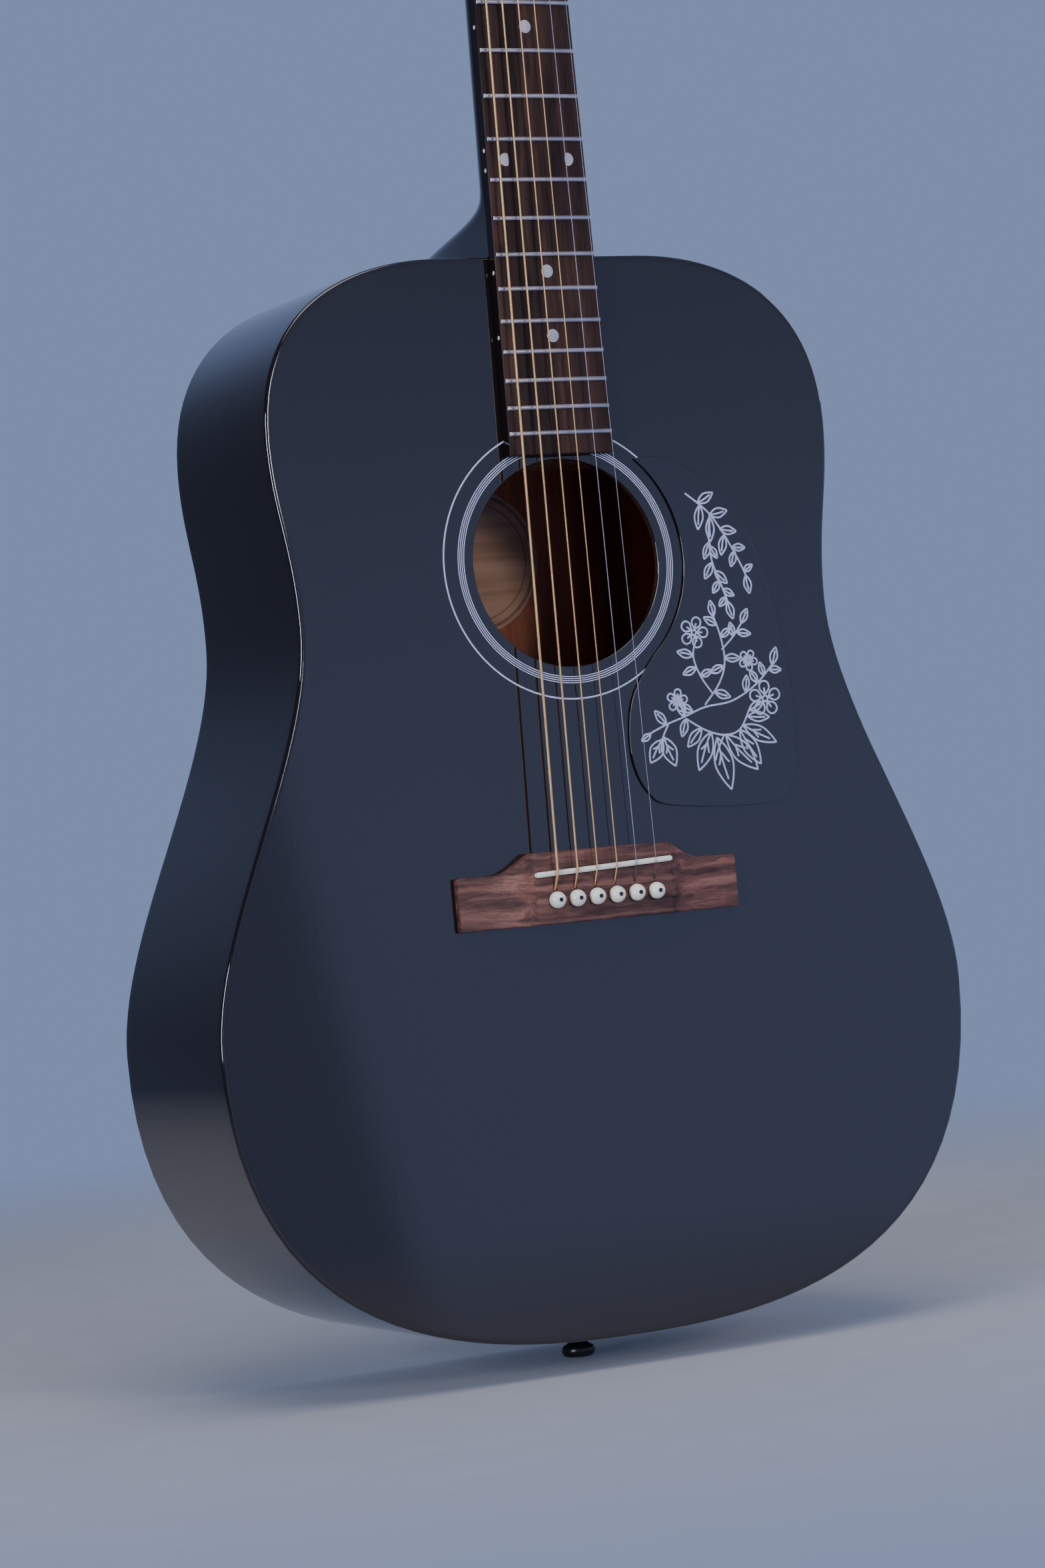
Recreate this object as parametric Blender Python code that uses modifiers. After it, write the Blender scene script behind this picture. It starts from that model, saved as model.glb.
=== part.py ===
# Steel-string acoustic guitar: dreadnought body, neck joined to it at the 14th fret.
# Metres. The origin is the middle of the end button's outer face, +Z runs up the neck,
# the soundboard faces -Y and the treble side is +X.
from math import atan2, cos, pi, radians, sin, tan

import bmesh
import bpy
from mathutils import Matrix, Vector
from mathutils.geometry import interpolate_bezier

GAP = 0.0003  # between glued or resting pieces
RUNNING = 0.0004  # round a turning shaft

# Body outline: distances down from the neck joint, and half widths there.
BODY_LENGTH = 0.511
SHOULDER_FLAT = 0.053  # half width of the straight edge that the heel meets
UPPER_DOWN, UPPER_HALF = 0.0826, 0.149
WAIST_DOWN, WAIST_HALF = 0.1696, 0.1405
LOWER_DOWN, LOWER_HALF = 0.360, 0.1978
OUTLINE_STEPS = 9  # points along each of the outline's five curves

# Body depth, measured on the centre line over the top and the back.
DEPTH_NECK, DEPTH_TAIL = 0.106, 0.124
BACK_ARCH_ACROSS = 0.0043  # fall from the centre line to the lower bout's edge
BACK_ARCH_ALONG = 0.004
TOP_THICK, BACK_THICK, SIDE_THICK = 0.0028, 0.0026, 0.0023
LINING_THICK, LINING_TALL = 0.0058, 0.014
NECK_BLOCK_HALF, NECK_BLOCK_LONG = 0.038, 0.026
TAIL_BLOCK_HALF, TAIL_BLOCK_LONG = 0.040, 0.020

# Soundhole, just below the fingerboard's end.
HOLE_R, HOLE_BELOW_BOARD = 0.0491, 0.0018

# Braces.
BRACE_WIDE, BRACE_TALL = 0.0065, 0.0135
BRACE_END, BRACE_TAIL_ROOM = 0.016, 0.03  # stops this far inside the outline
BRACE_PROFILE = ((0, 0.35), (0.12, 0.75), (0.3, 1), (0.7, 1), (0.88, 0.75), (1, 0.35))  # height along it
BRACE_CROWN = 0.6  # width of its rounded back, as a share of its foot
X_ANGLE = radians(48.5)  # each leg from the centre line
X_CROSSING = 0.52  # of the way from the soundhole's middle to the saddle
TONE_BAR_WIDE, TONE_BAR_TALL, TONE_BAR_ANGLE = 0.0055, 0.011, radians(24)
TONE_BARS = ((0.30, 0.065), (0.66, 0.085))  # share of the way from plate to tail, half length
TONE_BAR_ROOM_END = 0.045
TRANSVERSE_ABOVE_HOLE, TRANSVERSE_WIDE, TRANSVERSE_TALL = 0.0163, 0.012, 0.0145
BACK_BRACES, BACK_BRACE_WIDE, BACK_BRACE_TALL = 4, 0.009, 0.014

# Neck and fingerboard.
SCALE_LENGTH = 0.6477
BODY_FRET, FRETS = 14, 20
NUT_WIDTH, BOARD_SPREAD = 0.0436, 0.0131  # the spread is half width gained per metre down
BOARD_THICK, BOARD_PAST_LAST_FRET = 0.007, 0.010
FRET_WIDE, FRET_TALL = 0.0023, 0.0011
NUT_THICK, NUT_TALL = 0.006, 0.0096
NECK_DEPTH_NUT, NECK_DEPTH_BODY = 0.0145, 0.0175
HEEL_REACH, HEEL_FLAT, HEEL_SWEEP, HEEL_TIP_HALF = 0.045, 0.012, 5, 0.016
HEEL_CAP_THICK, HEEL_CAP_LONG = 0.0023, 0.0125
ROD_WIDE, ROD_TALL, ROD_FROM_BODY, ROD_PAST_NUT = 0.006, 0.0095, 0.010, 0.0085

# Headstock, in its own frame: x across, y back from the face, z up it.
HEAD_ANGLE, HEAD_DROP, HEAD_THICK = radians(14), 0.0004, 0.015
HEAD_EDGE = ((0.0218, 0.0005), (0.0246, 0.012), (0.0308, 0.026), (0.0334, 0.042),
             (0.0352, 0.085), (0.0372, 0.135), (0.0384, 0.170), (0.0360, 0.1805),
             (0.0200, 0.1846), (0.0, 0.186))
TRUSS_COVER_LOW, TRUSS_COVER_HIGH, TRUSS_COVER_HALF, TRUSS_COVER_THICK = 0.004, 0.046, 0.0115, 0.0018

# Tuners: post, gear, worm and key.
TUNER_UP = (0.040, 0.082, 0.124)
TUNER_INSET = 0.0113  # post axis in from the headstock's edge
POST_R, POST_PROUD = 0.003, 0.013
GEAR_R, GEAR_THICK, WORM_R = 0.0055, 0.004, 0.002
SLEEVE_WALL = 0.0012
HOUSING_WALL, HOUSING_FLOOR, HOUSING_TALL = 0.0022, 0.002, 0.010
KEY_STEM_R, KEY_COLLAR_R, BUTTON_OUT = 0.0016, 0.0032, 0.026
BUTTON_HALF = (0.0034, 0.0095, 0.0085)  # thickness, across, along the shaft

# Bridge, from the saddle's middle: distances towards and away from the neck.
COMPENSATION_BASS, COMPENSATION_TREBLE = 0.0028, 0.0003  # at the saddle's two ends
SADDLE_LONG, SADDLE_THICK, SADDLE_PROUD, SADDLE_SLOT = 0.073, 0.0027, 0.003, 0.002
BRIDGE_HALF, BRIDGE_WAIST_HALF, BRIDGE_CENTRE_HALF = 0.0745, 0.0555, 0.035
BRIDGE_NECKWARD, BRIDGE_WING_NECKWARD, BRIDGE_TAILWARD = 0.0093, 0.0006, 0.0247
BRIDGE_TALL, BRIDGE_WING_TALL = 0.0092, 0.0039
BRIDGE_CORNER = 0.003
PLATE_THICK, PLATE_LONG, PLATE_BELOW_PINS = 0.0025, 0.034, 0.021
PLATE_TO_LEG, PLATE_TAPER = 0.0165, 0.0064  # clear of the X brace, and wider at its lower edge
PIN_BEHIND_SADDLE, PIN_PITCH, PIN_HOLE_R = 0.0134, 0.0106, 0.0029
PIN_HEAD_R, PIN_SHANK, PIN_FLAT = 0.0038, 0.020, 0.0008
RAMP_LONG, RAMP_DEEP, RAMP_SHIFT = 0.009, 0.006, 0.0018  # a string's way up out of its pin hole

# Strings, low E to high E.
GAUGES = (0.00135, 0.00107, 0.00081, 0.00061, 0.000406, 0.000305)
NUT_PITCH = 0.0073
WRAPS = (2, 2, 2, 3, 4, 4)
WRAP_START, WRAP_SPARE = 0.0046, 0.00022

# Pickguard: an arc round the soundhole, then its outer edge, x from the centre line and
# the way down from the soundhole's middle, as a share of the distance to the bridge's wings.
GUARD_ARC_R, GUARD_THICK = 0.0625, 0.001
GUARD_ARC_FROM, GUARD_ARC_TO = radians(50), radians(-48)
GUARD_EDGE = ((0.0325, 0.405), (0.0262, 0.500), (0.0250, 0.655), (0.0320, 0.774),
              (0.0460, 0.824), (0.0960, 0.842), (0.1110, 0.788), (0.1155, 0.642),
              (0.1155, 0.483), (0.1130, 0.282), (0.1065, 0.080), (0.0970, -0.103),
              (0.0824, -0.226), (0.0684, -0.294), (0.0545, -0.334))

# End button: radius and height up from its outer face.
BUTTON_PROUD, BUTTON_SHANK_R, BUTTON_HEAD_R, BUTTON_SHANK = 0.014, 0.0045, 0.0082, 0.022

Z_TAIL = BUTTON_PROUD
Z_JOINT = Z_TAIL + BODY_LENGTH
FACE_Y = -DEPTH_TAIL / 2  # the soundboard's front face
TOP_INSIDE_Y = FACE_Y + TOP_THICK + GAP


def fret_from_nut(number):
    return SCALE_LENGTH * (1 - 2 ** (-number / 12))


Z_NUT = Z_JOINT + fret_from_nut(BODY_FRET)
Z_SADDLE = Z_NUT - SCALE_LENGTH - (COMPENSATION_BASS + COMPENSATION_TREBLE) / 2
Z_PINS = Z_SADDLE - PIN_BEHIND_SADDLE
BOARD_LONG = fret_from_nut(FRETS) + BOARD_PAST_LAST_FRET
Z_HOLE = Z_NUT - BOARD_LONG - HOLE_BELOW_BOARD - HOLE_R
Z_CROSSING = Z_HOLE - X_CROSSING * (Z_HOLE - Z_SADDLE)
Z_TRANSVERSE = Z_HOLE + HOLE_R + TRANSVERSE_ABOVE_HOLE
SADDLE_TOP_Y = FACE_Y - BRIDGE_TALL - SADDLE_PROUD
SADDLE_SLANT = atan2(COMPENSATION_BASS - COMPENSATION_TREBLE, SADDLE_LONG)

for old in list(bpy.data.objects):
    bpy.data.objects.remove(old)

guitar = bpy.data.collections.new("acoustic_guitar")
cutters = bpy.data.collections.new("cutters")
bpy.context.scene.collection.children.link(guitar)
bpy.context.scene.collection.children.link(cutters)

# Colour, roughness and metallic of each finish.
FINISHES = {
    "black_lacquer": ((0.012, 0.012, 0.014), 0.08, 0.0),
    "spruce": ((0.62, 0.43, 0.24), 0.6, 0.0),
    "mahogany": ((0.28, 0.13, 0.07), 0.6, 0.0),
    "rosewood": ((0.10, 0.045, 0.03), 0.45, 0.0),
    "bone": ((0.83, 0.79, 0.66), 0.35, 0.0),
    "black_plastic": ((0.015, 0.015, 0.017), 0.15, 0.0),
    "nickel": ((0.72, 0.70, 0.67), 0.22, 1.0),
    "steel": ((0.60, 0.60, 0.60), 0.35, 1.0),
    "bronze": ((0.72, 0.47, 0.24), 0.3, 1.0),
}


# ---------------------------------------------------------------- building tools

def finished(obj, finish):
    """Gives the object a material of its own."""
    colour, roughness, metallic = FINISHES[finish]
    made = bpy.data.materials.new(obj.name)
    made.use_nodes = True
    shader = made.node_tree.nodes["Principled BSDF"]
    shader.inputs["Base Color"].default_value = (*colour, 1)
    shader.inputs["Roughness"].default_value = roughness
    shader.inputs["Metallic"].default_value = metallic
    obj.data.materials.clear()
    obj.data.materials.append(made)
    return obj


def placed(name, data, where=guitar, parent=None, location=(0, 0, 0), turn=(0, 0, 0)):
    obj = bpy.data.objects.new(name, data)
    where.objects.link(obj)
    obj.parent = parent
    obj.location = location
    obj.rotation_euler = turn
    return obj


def helper(obj):
    """Moves an object to the cutters, which aren't part of the guitar."""
    for home in list(obj.users_collection):
        home.objects.unlink(obj)
    cutters.objects.link(obj)
    obj.hide_render = True
    obj.display_type = "WIRE"
    return obj


def modified(obj, kind, **settings):
    change = obj.modifiers.new(kind.title(), kind)
    for setting, value in settings.items():
        setattr(change, setting, value)
    return obj


def joined(obj, operation, *others, solver="EXACT"):
    """Booleans with helper meshes: UNION, DIFFERENCE or INTERSECT."""
    for other in others:
        modified(obj, "BOOLEAN", operation=operation, object=helper(other), solver=solver)
    return obj


def as_mesh(obj):
    """Replaces a curve, or an object with modifiers, by the mesh that it evaluates to."""
    bpy.context.view_layer.update()
    evaluated = obj.evaluated_get(bpy.context.evaluated_depsgraph_get())
    mesh = bpy.data.meshes.new_from_object(evaluated)
    bm = bmesh.new()
    bm.from_mesh(mesh)
    bmesh.ops.remove_doubles(bm, verts=bm.verts, dist=0.000005)
    bm.to_mesh(mesh)
    bm.free()
    name, home, parent = obj.name, obj.users_collection[0], obj.parent
    location, turn = tuple(obj.location), tuple(obj.rotation_euler)
    bpy.data.objects.remove(obj)
    return placed(name, mesh, home, parent, location, turn)


def plate(name, loops, front, back, parent=None):
    """A flat piece parallel to the soundboard. The first loop of (x, z) is its edge, others are holes."""
    curve = bpy.data.curves.new(name, "CURVE")
    curve.dimensions = "2D"
    curve.fill_mode = "BOTH"
    curve.extrude = (back - front) / 2
    for loop in loops:
        spline = curve.splines.new("POLY")
        spline.points.add(len(loop) - 1)
        for point, (x, z) in zip(spline.points, loop):
            point.co = (x, z, 0, 1)
        spline.use_cyclic_u = True
    middle = (0, (front + back) / 2, 0)
    return placed(name, curve, parent=parent, location=middle, turn=(pi / 2, 0, 0))


def box(name, low, high, parent=None):
    low, high = Vector(low), Vector(high)
    bm = bmesh.new()
    bmesh.ops.create_cube(bm, matrix=Matrix.Diagonal((*(high - low), 1)))
    mesh = bpy.data.meshes.new(name)
    bm.to_mesh(mesh)
    bm.free()
    return placed(name, mesh, parent=parent, location=(low + high) / 2)


def cylinder(name, radius, start, end, segments=24, parent=None):
    start, end = Vector(start), Vector(end)
    bm = bmesh.new()
    bmesh.ops.create_cone(bm, cap_ends=True, segments=segments, radius1=radius,
                          radius2=radius, depth=(end - start).length)
    mesh = bpy.data.meshes.new(name)
    bm.to_mesh(mesh)
    bm.free()
    mesh.shade_smooth()
    mesh.set_sharp_from_angle(angle=radians(40))
    turn = (end - start).to_track_quat("Z", "Y").to_euler()
    return placed(name, mesh, parent=parent, location=(start + end) / 2, turn=turn)


def turned(name, profile, steps, **place):
    """A solid of revolution about its own Z, from (radius, height) points that run downwards."""
    mesh = bpy.data.meshes.new(name)
    edges = [(i, i + 1) for i in range(len(profile) - 1)]
    mesh.from_pydata([(r, 0, z) for r, z in profile], edges, [])
    obj = placed(name, mesh, **place)
    return modified(obj, "SCREW", steps=steps, render_steps=steps, use_smooth_shade=True,
                    use_merge_vertices=True, merge_threshold=0.00001)


def loft(name, sections, **place):
    """Joins closed sections of equally many points, and caps both ends."""
    bm = bmesh.new()
    rings = [[bm.verts.new(point) for point in section] for section in sections]
    for ring, after in zip(rings, rings[1:]):
        for i in range(len(ring)):
            j = (i + 1) % len(ring)
            bm.faces.new((ring[i], ring[j], after[j], after[i]))
    bm.faces.new(rings[0])
    bm.faces.new(rings[-1])
    bmesh.ops.recalc_face_normals(bm, faces=bm.faces)
    mesh = bpy.data.meshes.new(name)
    bm.to_mesh(mesh)
    bm.free()
    return placed(name, mesh, **place)


def circle(x, z, radius, steps):
    return [(x + radius * cos(2 * pi * i / steps), z + radius * sin(2 * pi * i / steps))
            for i in range(steps)]


def smooth(points, steps, closed=False):
    """Points along a Catmull-Rom curve through the given ones."""
    points = [Vector(p) for p in points]
    spans = len(points) if closed else len(points) - 1
    found = []
    for i in range(spans):
        if closed:
            a, b, c, d = (points[(i + k) % len(points)] for k in (-1, 0, 1, 2))
        else:
            a, b, c, d = (points[min(max(i + k, 0), len(points) - 1)] for k in (-1, 0, 1, 2))
        for step in range(steps):
            t = step / steps
            found.append(0.5 * (2 * b + (c - a) * t + (2 * a - 5 * b + 4 * c - d) * t * t
                                + (3 * b - a - 3 * c + d) * t ** 3))
    return found if closed else found + [points[-1]]


# ---------------------------------------------------------------- body shape

def half_outline():
    """(x, z) from the joint's centre line, down the treble side, to the tail's centre line."""
    waist_rise, waist_fall = WAIST_DOWN - UPPER_DOWN, LOWER_DOWN - WAIST_DOWN
    knots = (  # point, then the reach of its curve handles before and after it
        ((0, 0), (0, 0), (SHOULDER_FLAT / 3, 0)),
        ((SHOULDER_FLAT, 0), (-SHOULDER_FLAT / 3, 0), (0.43 * (UPPER_HALF - SHOULDER_FLAT), 0)),
        ((UPPER_HALF, -UPPER_DOWN), (0, 0.805 * UPPER_DOWN), (0, -0.377 * waist_rise)),
        ((WAIST_HALF, -WAIST_DOWN), (0, 0.444 * waist_rise), (0, -0.30 * waist_fall)),
        ((LOWER_HALF, -LOWER_DOWN), (0, 0.303 * waist_fall), (0, -0.969 * (BODY_LENGTH - LOWER_DOWN))),
        ((0, -BODY_LENGTH), (0.334 * LOWER_HALF, 0), (0, 0)),
    )
    found = []
    for (start, _, leave), (end, arrive, _) in zip(knots, knots[1:]):
        start, end = Vector(start), Vector(end)
        curve = interpolate_bezier(start, start + Vector(leave), end + Vector(arrive), end, OUTLINE_STEPS + 1)
        found += curve[:-1]
    found.append(Vector((0, -BODY_LENGTH)))
    return [(point.x, Z_JOINT + point.y) for point in found]


OUTLINE = half_outline()


def whole(half):
    """Both halves as one loop, from a half that starts and ends on the centre line."""
    return half + [(-x, z) for x, z in reversed(half[1:-1])]


def half_width(z):
    """Of the body at height z."""
    for (x1, z1), (x2, z2) in zip(OUTLINE, OUTLINE[1:]):
        if z2 <= z <= z1 and z1 > z2:
            return x1 + (x2 - x1) * (z1 - z) / (z1 - z2)
    return 0.0


def inset(points, distance):
    """An open line moved towards the body's middle, square to itself."""
    found = []
    for i, (x, z) in enumerate(points):
        before, after = points[max(i - 1, 0)], points[min(i + 1, len(points) - 1)]
        along = Vector((after[0] - before[0], after[1] - before[1])).normalized()
        found.append((x + along.y * distance, z - along.x * distance))
    return found


def back_y(x, z):
    """The back's outer face, arched both ways."""
    down = (Z_JOINT - z) / BODY_LENGTH
    depth = DEPTH_NECK + (DEPTH_TAIL - DEPTH_NECK) * down
    along = BACK_ARCH_ALONG * 4 * down * (1 - down)
    return FACE_Y + depth + along - BACK_ARCH_ACROSS * (x / LOWER_HALF) ** 2


def back_inside_y(x, z):
    return back_y(x, z) - BACK_THICK - GAP


def pin_x(number):
    return (number - 2.5) * PIN_PITCH


def brace_reach(x, z, dx, dz):
    """How far a brace runs from (x, z) before it is near the outline or the transverse brace."""
    run, step = 0.0, 0.001
    highest = Z_TRANSVERSE - TRANSVERSE_WIDE / 2 - BRACE_WIDE
    while abs(x) + BRACE_END < half_width(z) and Z_TAIL + BRACE_TAIL_ROOM < z < highest:
        x, z, run = x + dx * step, z + dz * step, run + step
    return run


# ---------------------------------------------------------------- body pieces

def make_top():
    holes = [circle(0, Z_HOLE, HOLE_R, 48)]
    holes += [circle(pin_x(i), Z_PINS, PIN_HOLE_R, 12) for i in range(6)]
    finished(plate("top", [whole(OUTLINE)] + holes, FACE_Y, FACE_Y + TOP_THICK), "black_lacquer")


def make_back():
    centre = Vector((0, Z_JOINT - WAIST_DOWN - 0.02))
    edge = whole(OUTLINE)
    bm = bmesh.new()
    rings = []
    for share in (1, 0.66, 0.3):
        ring = [centre + share * (Vector(point) - centre) for point in edge]
        rings.append([bm.verts.new((x, back_y(x, z), z)) for x, z in ring])
    middle = bm.verts.new((0, back_y(*centre), centre.y))
    for ring, inner in zip(rings, rings[1:]):
        for i in range(len(ring)):
            j = (i + 1) % len(ring)
            bm.faces.new((ring[i], ring[j], inner[j], inner[i]))
    for i in range(len(edge)):
        bm.faces.new((rings[-1][i], rings[-1][(i + 1) % len(edge)], middle))
    bmesh.ops.recalc_face_normals(bm, faces=bm.faces)
    if sum(face.normal.y for face in bm.faces) < 0:
        bmesh.ops.reverse_faces(bm, faces=bm.faces)
    mesh = bpy.data.meshes.new("back")
    bm.to_mesh(mesh)
    bm.free()
    obj = placed("back", mesh)
    finished(modified(obj, "SOLIDIFY", thickness=BACK_THICK, offset=-1), "black_lacquer")


def ribbon(name, line, edges, thickness):
    """A wall that stands on a line of (x, z) and is thickened inwards. edges gives its two y at (x, z)."""
    bm = bmesh.new()
    columns = [[bm.verts.new((x, y, z)) for y in edges(x, z)] for x, z in line]
    for (a, b), (c, d) in zip(columns, columns[1:]):
        bm.faces.new((a, b, d, c))
    mesh = bpy.data.meshes.new(name)
    bm.to_mesh(mesh)
    bm.free()
    mesh.update()
    x, z = line[len(line) // 2]
    outwards = mesh.polygons[len(mesh.polygons) // 2].normal.x * x > 0
    return modified(placed(name, mesh), "SOLIDIFY", thickness=thickness,
                    offset=-1 if outwards else 1, use_even_offset=True)


def make_sides():
    line = [(max(x, GAP / 2), z) for x, z in OUTLINE]
    for name, sign in (("side_bass", -1), ("side_treble", 1)):
        half = [(sign * x, z) for x, z in line]
        side = ribbon(name, half, lambda x, z: (TOP_INSIDE_Y, back_inside_y(x, z)), SIDE_THICK)
        hole = cylinder(name + "_hole", BUTTON_SHANK_R + GAP, (0, 0, 0), (0, 0, Z_TAIL + BUTTON_SHANK))
        finished(joined(side, "DIFFERENCE", hole), "black_lacquer")


def make_linings():
    """Glued along both edges of the sides, from the neck block to the tail block."""
    inner = inset(OUTLINE, SIDE_THICK + GAP)
    tail = [x > TAIL_BLOCK_HALF + GAP or z > Z_JOINT - LOWER_DOWN for x, z in inner]
    line = [point for point, kept in zip(inner, tail) if kept and point[0] > NECK_BLOCK_HALF + GAP]
    edges = {
        "lining_top_": lambda x, z: (TOP_INSIDE_Y, TOP_INSIDE_Y + LINING_TALL),
        "lining_back_": lambda x, z: (back_inside_y(x, z) - LINING_TALL, back_inside_y(x, z)),
    }
    for hand, sign in (("bass", -1), ("treble", 1)):
        half = [(sign * x, z) for x, z in line]
        for name, ends in edges.items():
            finished(ribbon(name + hand, half, ends, LINING_THICK), "mahogany")


def make_blocks():
    high = Z_JOINT - SIDE_THICK - GAP
    depth = back_inside_y(NECK_BLOCK_HALF, Z_JOINT)
    block = box("neck_block", (-NECK_BLOCK_HALF, TOP_INSIDE_Y, high - NECK_BLOCK_LONG),
                (NECK_BLOCK_HALF, depth, high))
    finished(modified(block, "BEVEL", width=0.0015, segments=1), "mahogany")
    curve_rise = max(z for x, z in inset(OUTLINE, SIDE_THICK + GAP)
                     if x < TAIL_BLOCK_HALF + 0.02 and z < Z_JOINT - LOWER_DOWN)
    depth = back_inside_y(TAIL_BLOCK_HALF, curve_rise + TAIL_BLOCK_LONG)
    block = box("tail_block", (-TAIL_BLOCK_HALF, TOP_INSIDE_Y, curve_rise),
                (TAIL_BLOCK_HALF, depth, curve_rise + TAIL_BLOCK_LONG))
    hole = cylinder("tail_block_hole", BUTTON_SHANK_R + GAP, (0, 0, 0), (0, 0, Z_TAIL + 2 * BUTTON_SHANK))
    finished(joined(block, "DIFFERENCE", hole), "mahogany")


# ---------------------------------------------------------------- braces

def top_bar(name, start, end, wide, tall, finish="spruce"):
    """A brace on the inside of the top, lower at its two ends."""
    start, end = Vector(start), Vector(end)
    along = (end - start).normalized()
    across = Vector((-along.y, along.x)) * wide / 2
    sections = []
    for share, height in BRACE_PROFILE:
        at = start + share * (end - start)
        sections.append([
            (at.x - across.x, TOP_INSIDE_Y, at.y - across.y),
            (at.x + across.x, TOP_INSIDE_Y, at.y + across.y),
            (at.x + across.x * BRACE_CROWN, TOP_INSIDE_Y + tall * height, at.y + across.y * BRACE_CROWN),
            (at.x - across.x * BRACE_CROWN, TOP_INSIDE_Y + tall * height, at.y - across.y * BRACE_CROWN),
        ])
    return finished(loft(name, sections), finish)


def make_top_braces():
    legs = []
    for sign in (-1, 1):
        dx, dz = sign * sin(X_ANGLE), cos(X_ANGLE)
        up = brace_reach(0, Z_CROSSING, dx, dz)
        down = brace_reach(0, Z_CROSSING, -dx, -dz)
        start = (dx * up, Z_CROSSING + dz * up)
        end = (-dx * down, Z_CROSSING - dz * down)
        name = "x_brace" if sign < 0 else "x_brace_other_leg"
        legs.append(top_bar(name, start, end, BRACE_WIDE, BRACE_TALL))
    joined(legs[0], "UNION", legs[1])

    z = Z_TRANSVERSE
    reach = half_width(z) - BRACE_END
    top_bar("transverse_brace", (-reach, z), (reach, z), TRANSVERSE_WIDE, TRANSVERSE_TALL)

    plate_low = Z_PINS - PLATE_BELOW_PINS
    plate_high = plate_low + PLATE_LONG
    leg = (Z_CROSSING - plate_high) * tan(X_ANGLE) - BRACE_WIDE / 2 / cos(X_ANGLE)
    high_half = leg - PLATE_TO_LEG
    low_half = high_half + PLATE_TAPER
    holes = [circle(pin_x(i), Z_PINS, PIN_HOLE_R, 12) for i in range(6)]
    edge = [(-low_half, plate_low), (low_half, plate_low), (high_half, plate_high), (-high_half, plate_high)]
    finished(plate("bridge_plate", [edge] + holes, TOP_INSIDE_Y, TOP_INSIDE_Y + PLATE_THICK), "rosewood")

    room = plate_low - (Z_TAIL + TONE_BAR_ROOM_END)
    dx, dz = cos(TONE_BAR_ANGLE), -sin(TONE_BAR_ANGLE)
    for number, (share, reach) in enumerate(TONE_BARS, 1):
        z = plate_low - share * room
        top_bar(f"tone_bar_{number}", (-dx * reach, z - dz * reach), (dx * reach, z + dz * reach),
                TONE_BAR_WIDE, TONE_BAR_TALL)


def make_back_braces():
    high = Z_JOINT - SIDE_THICK - NECK_BLOCK_LONG
    low = Z_TAIL + SIDE_THICK + TAIL_BLOCK_LONG
    for number in range(BACK_BRACES):
        z = high - (high - low) * (number + 0.5) / BACK_BRACES
        reach = half_width(z) - BRACE_END
        sections = []
        for i in range(13):
            x = reach * (i / 6 - 1)
            tall = BACK_BRACE_TALL * min(1, 0.35 + 3 * (1 - abs(x) / reach))
            y = back_inside_y(x, z + BACK_BRACE_WIDE / 2)
            y = min(y, back_inside_y(x, z - BACK_BRACE_WIDE / 2))
            half = BACK_BRACE_WIDE / 2
            sections.append([(x, y, z - half), (x, y, z + half),
                             (x, y - tall, z + half * BRACE_CROWN), (x, y - tall, z - half * BRACE_CROWN)])
        finished(loft(f"back_brace_{number + 1}", sections), "spruce")


# ---------------------------------------------------------------- neck

def board_half(z):
    return NUT_WIDTH / 2 + BOARD_SPREAD * (Z_NUT - z)


def neck_section(z, flat_y, half, depth, heel):
    """A D at heel 0, and a tapering U at heel 1, from the flat's treble edge round to its bass edge."""
    fullness = 0.88 + (0.42 - 0.88) * heel
    narrowing = (1 - HEEL_TIP_HALF / half) * heel
    section = []
    steps = 16
    for i in range(steps + 1):
        angle = pi * i / steps
        across = max(abs(cos(angle)), 0) ** fullness * (1 if cos(angle) > 0 else -1)
        deep = max(sin(angle), 0) ** fullness
        section.append((half * across * (1 - narrowing * deep), flat_y + depth * deep, z))
    return section


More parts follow.
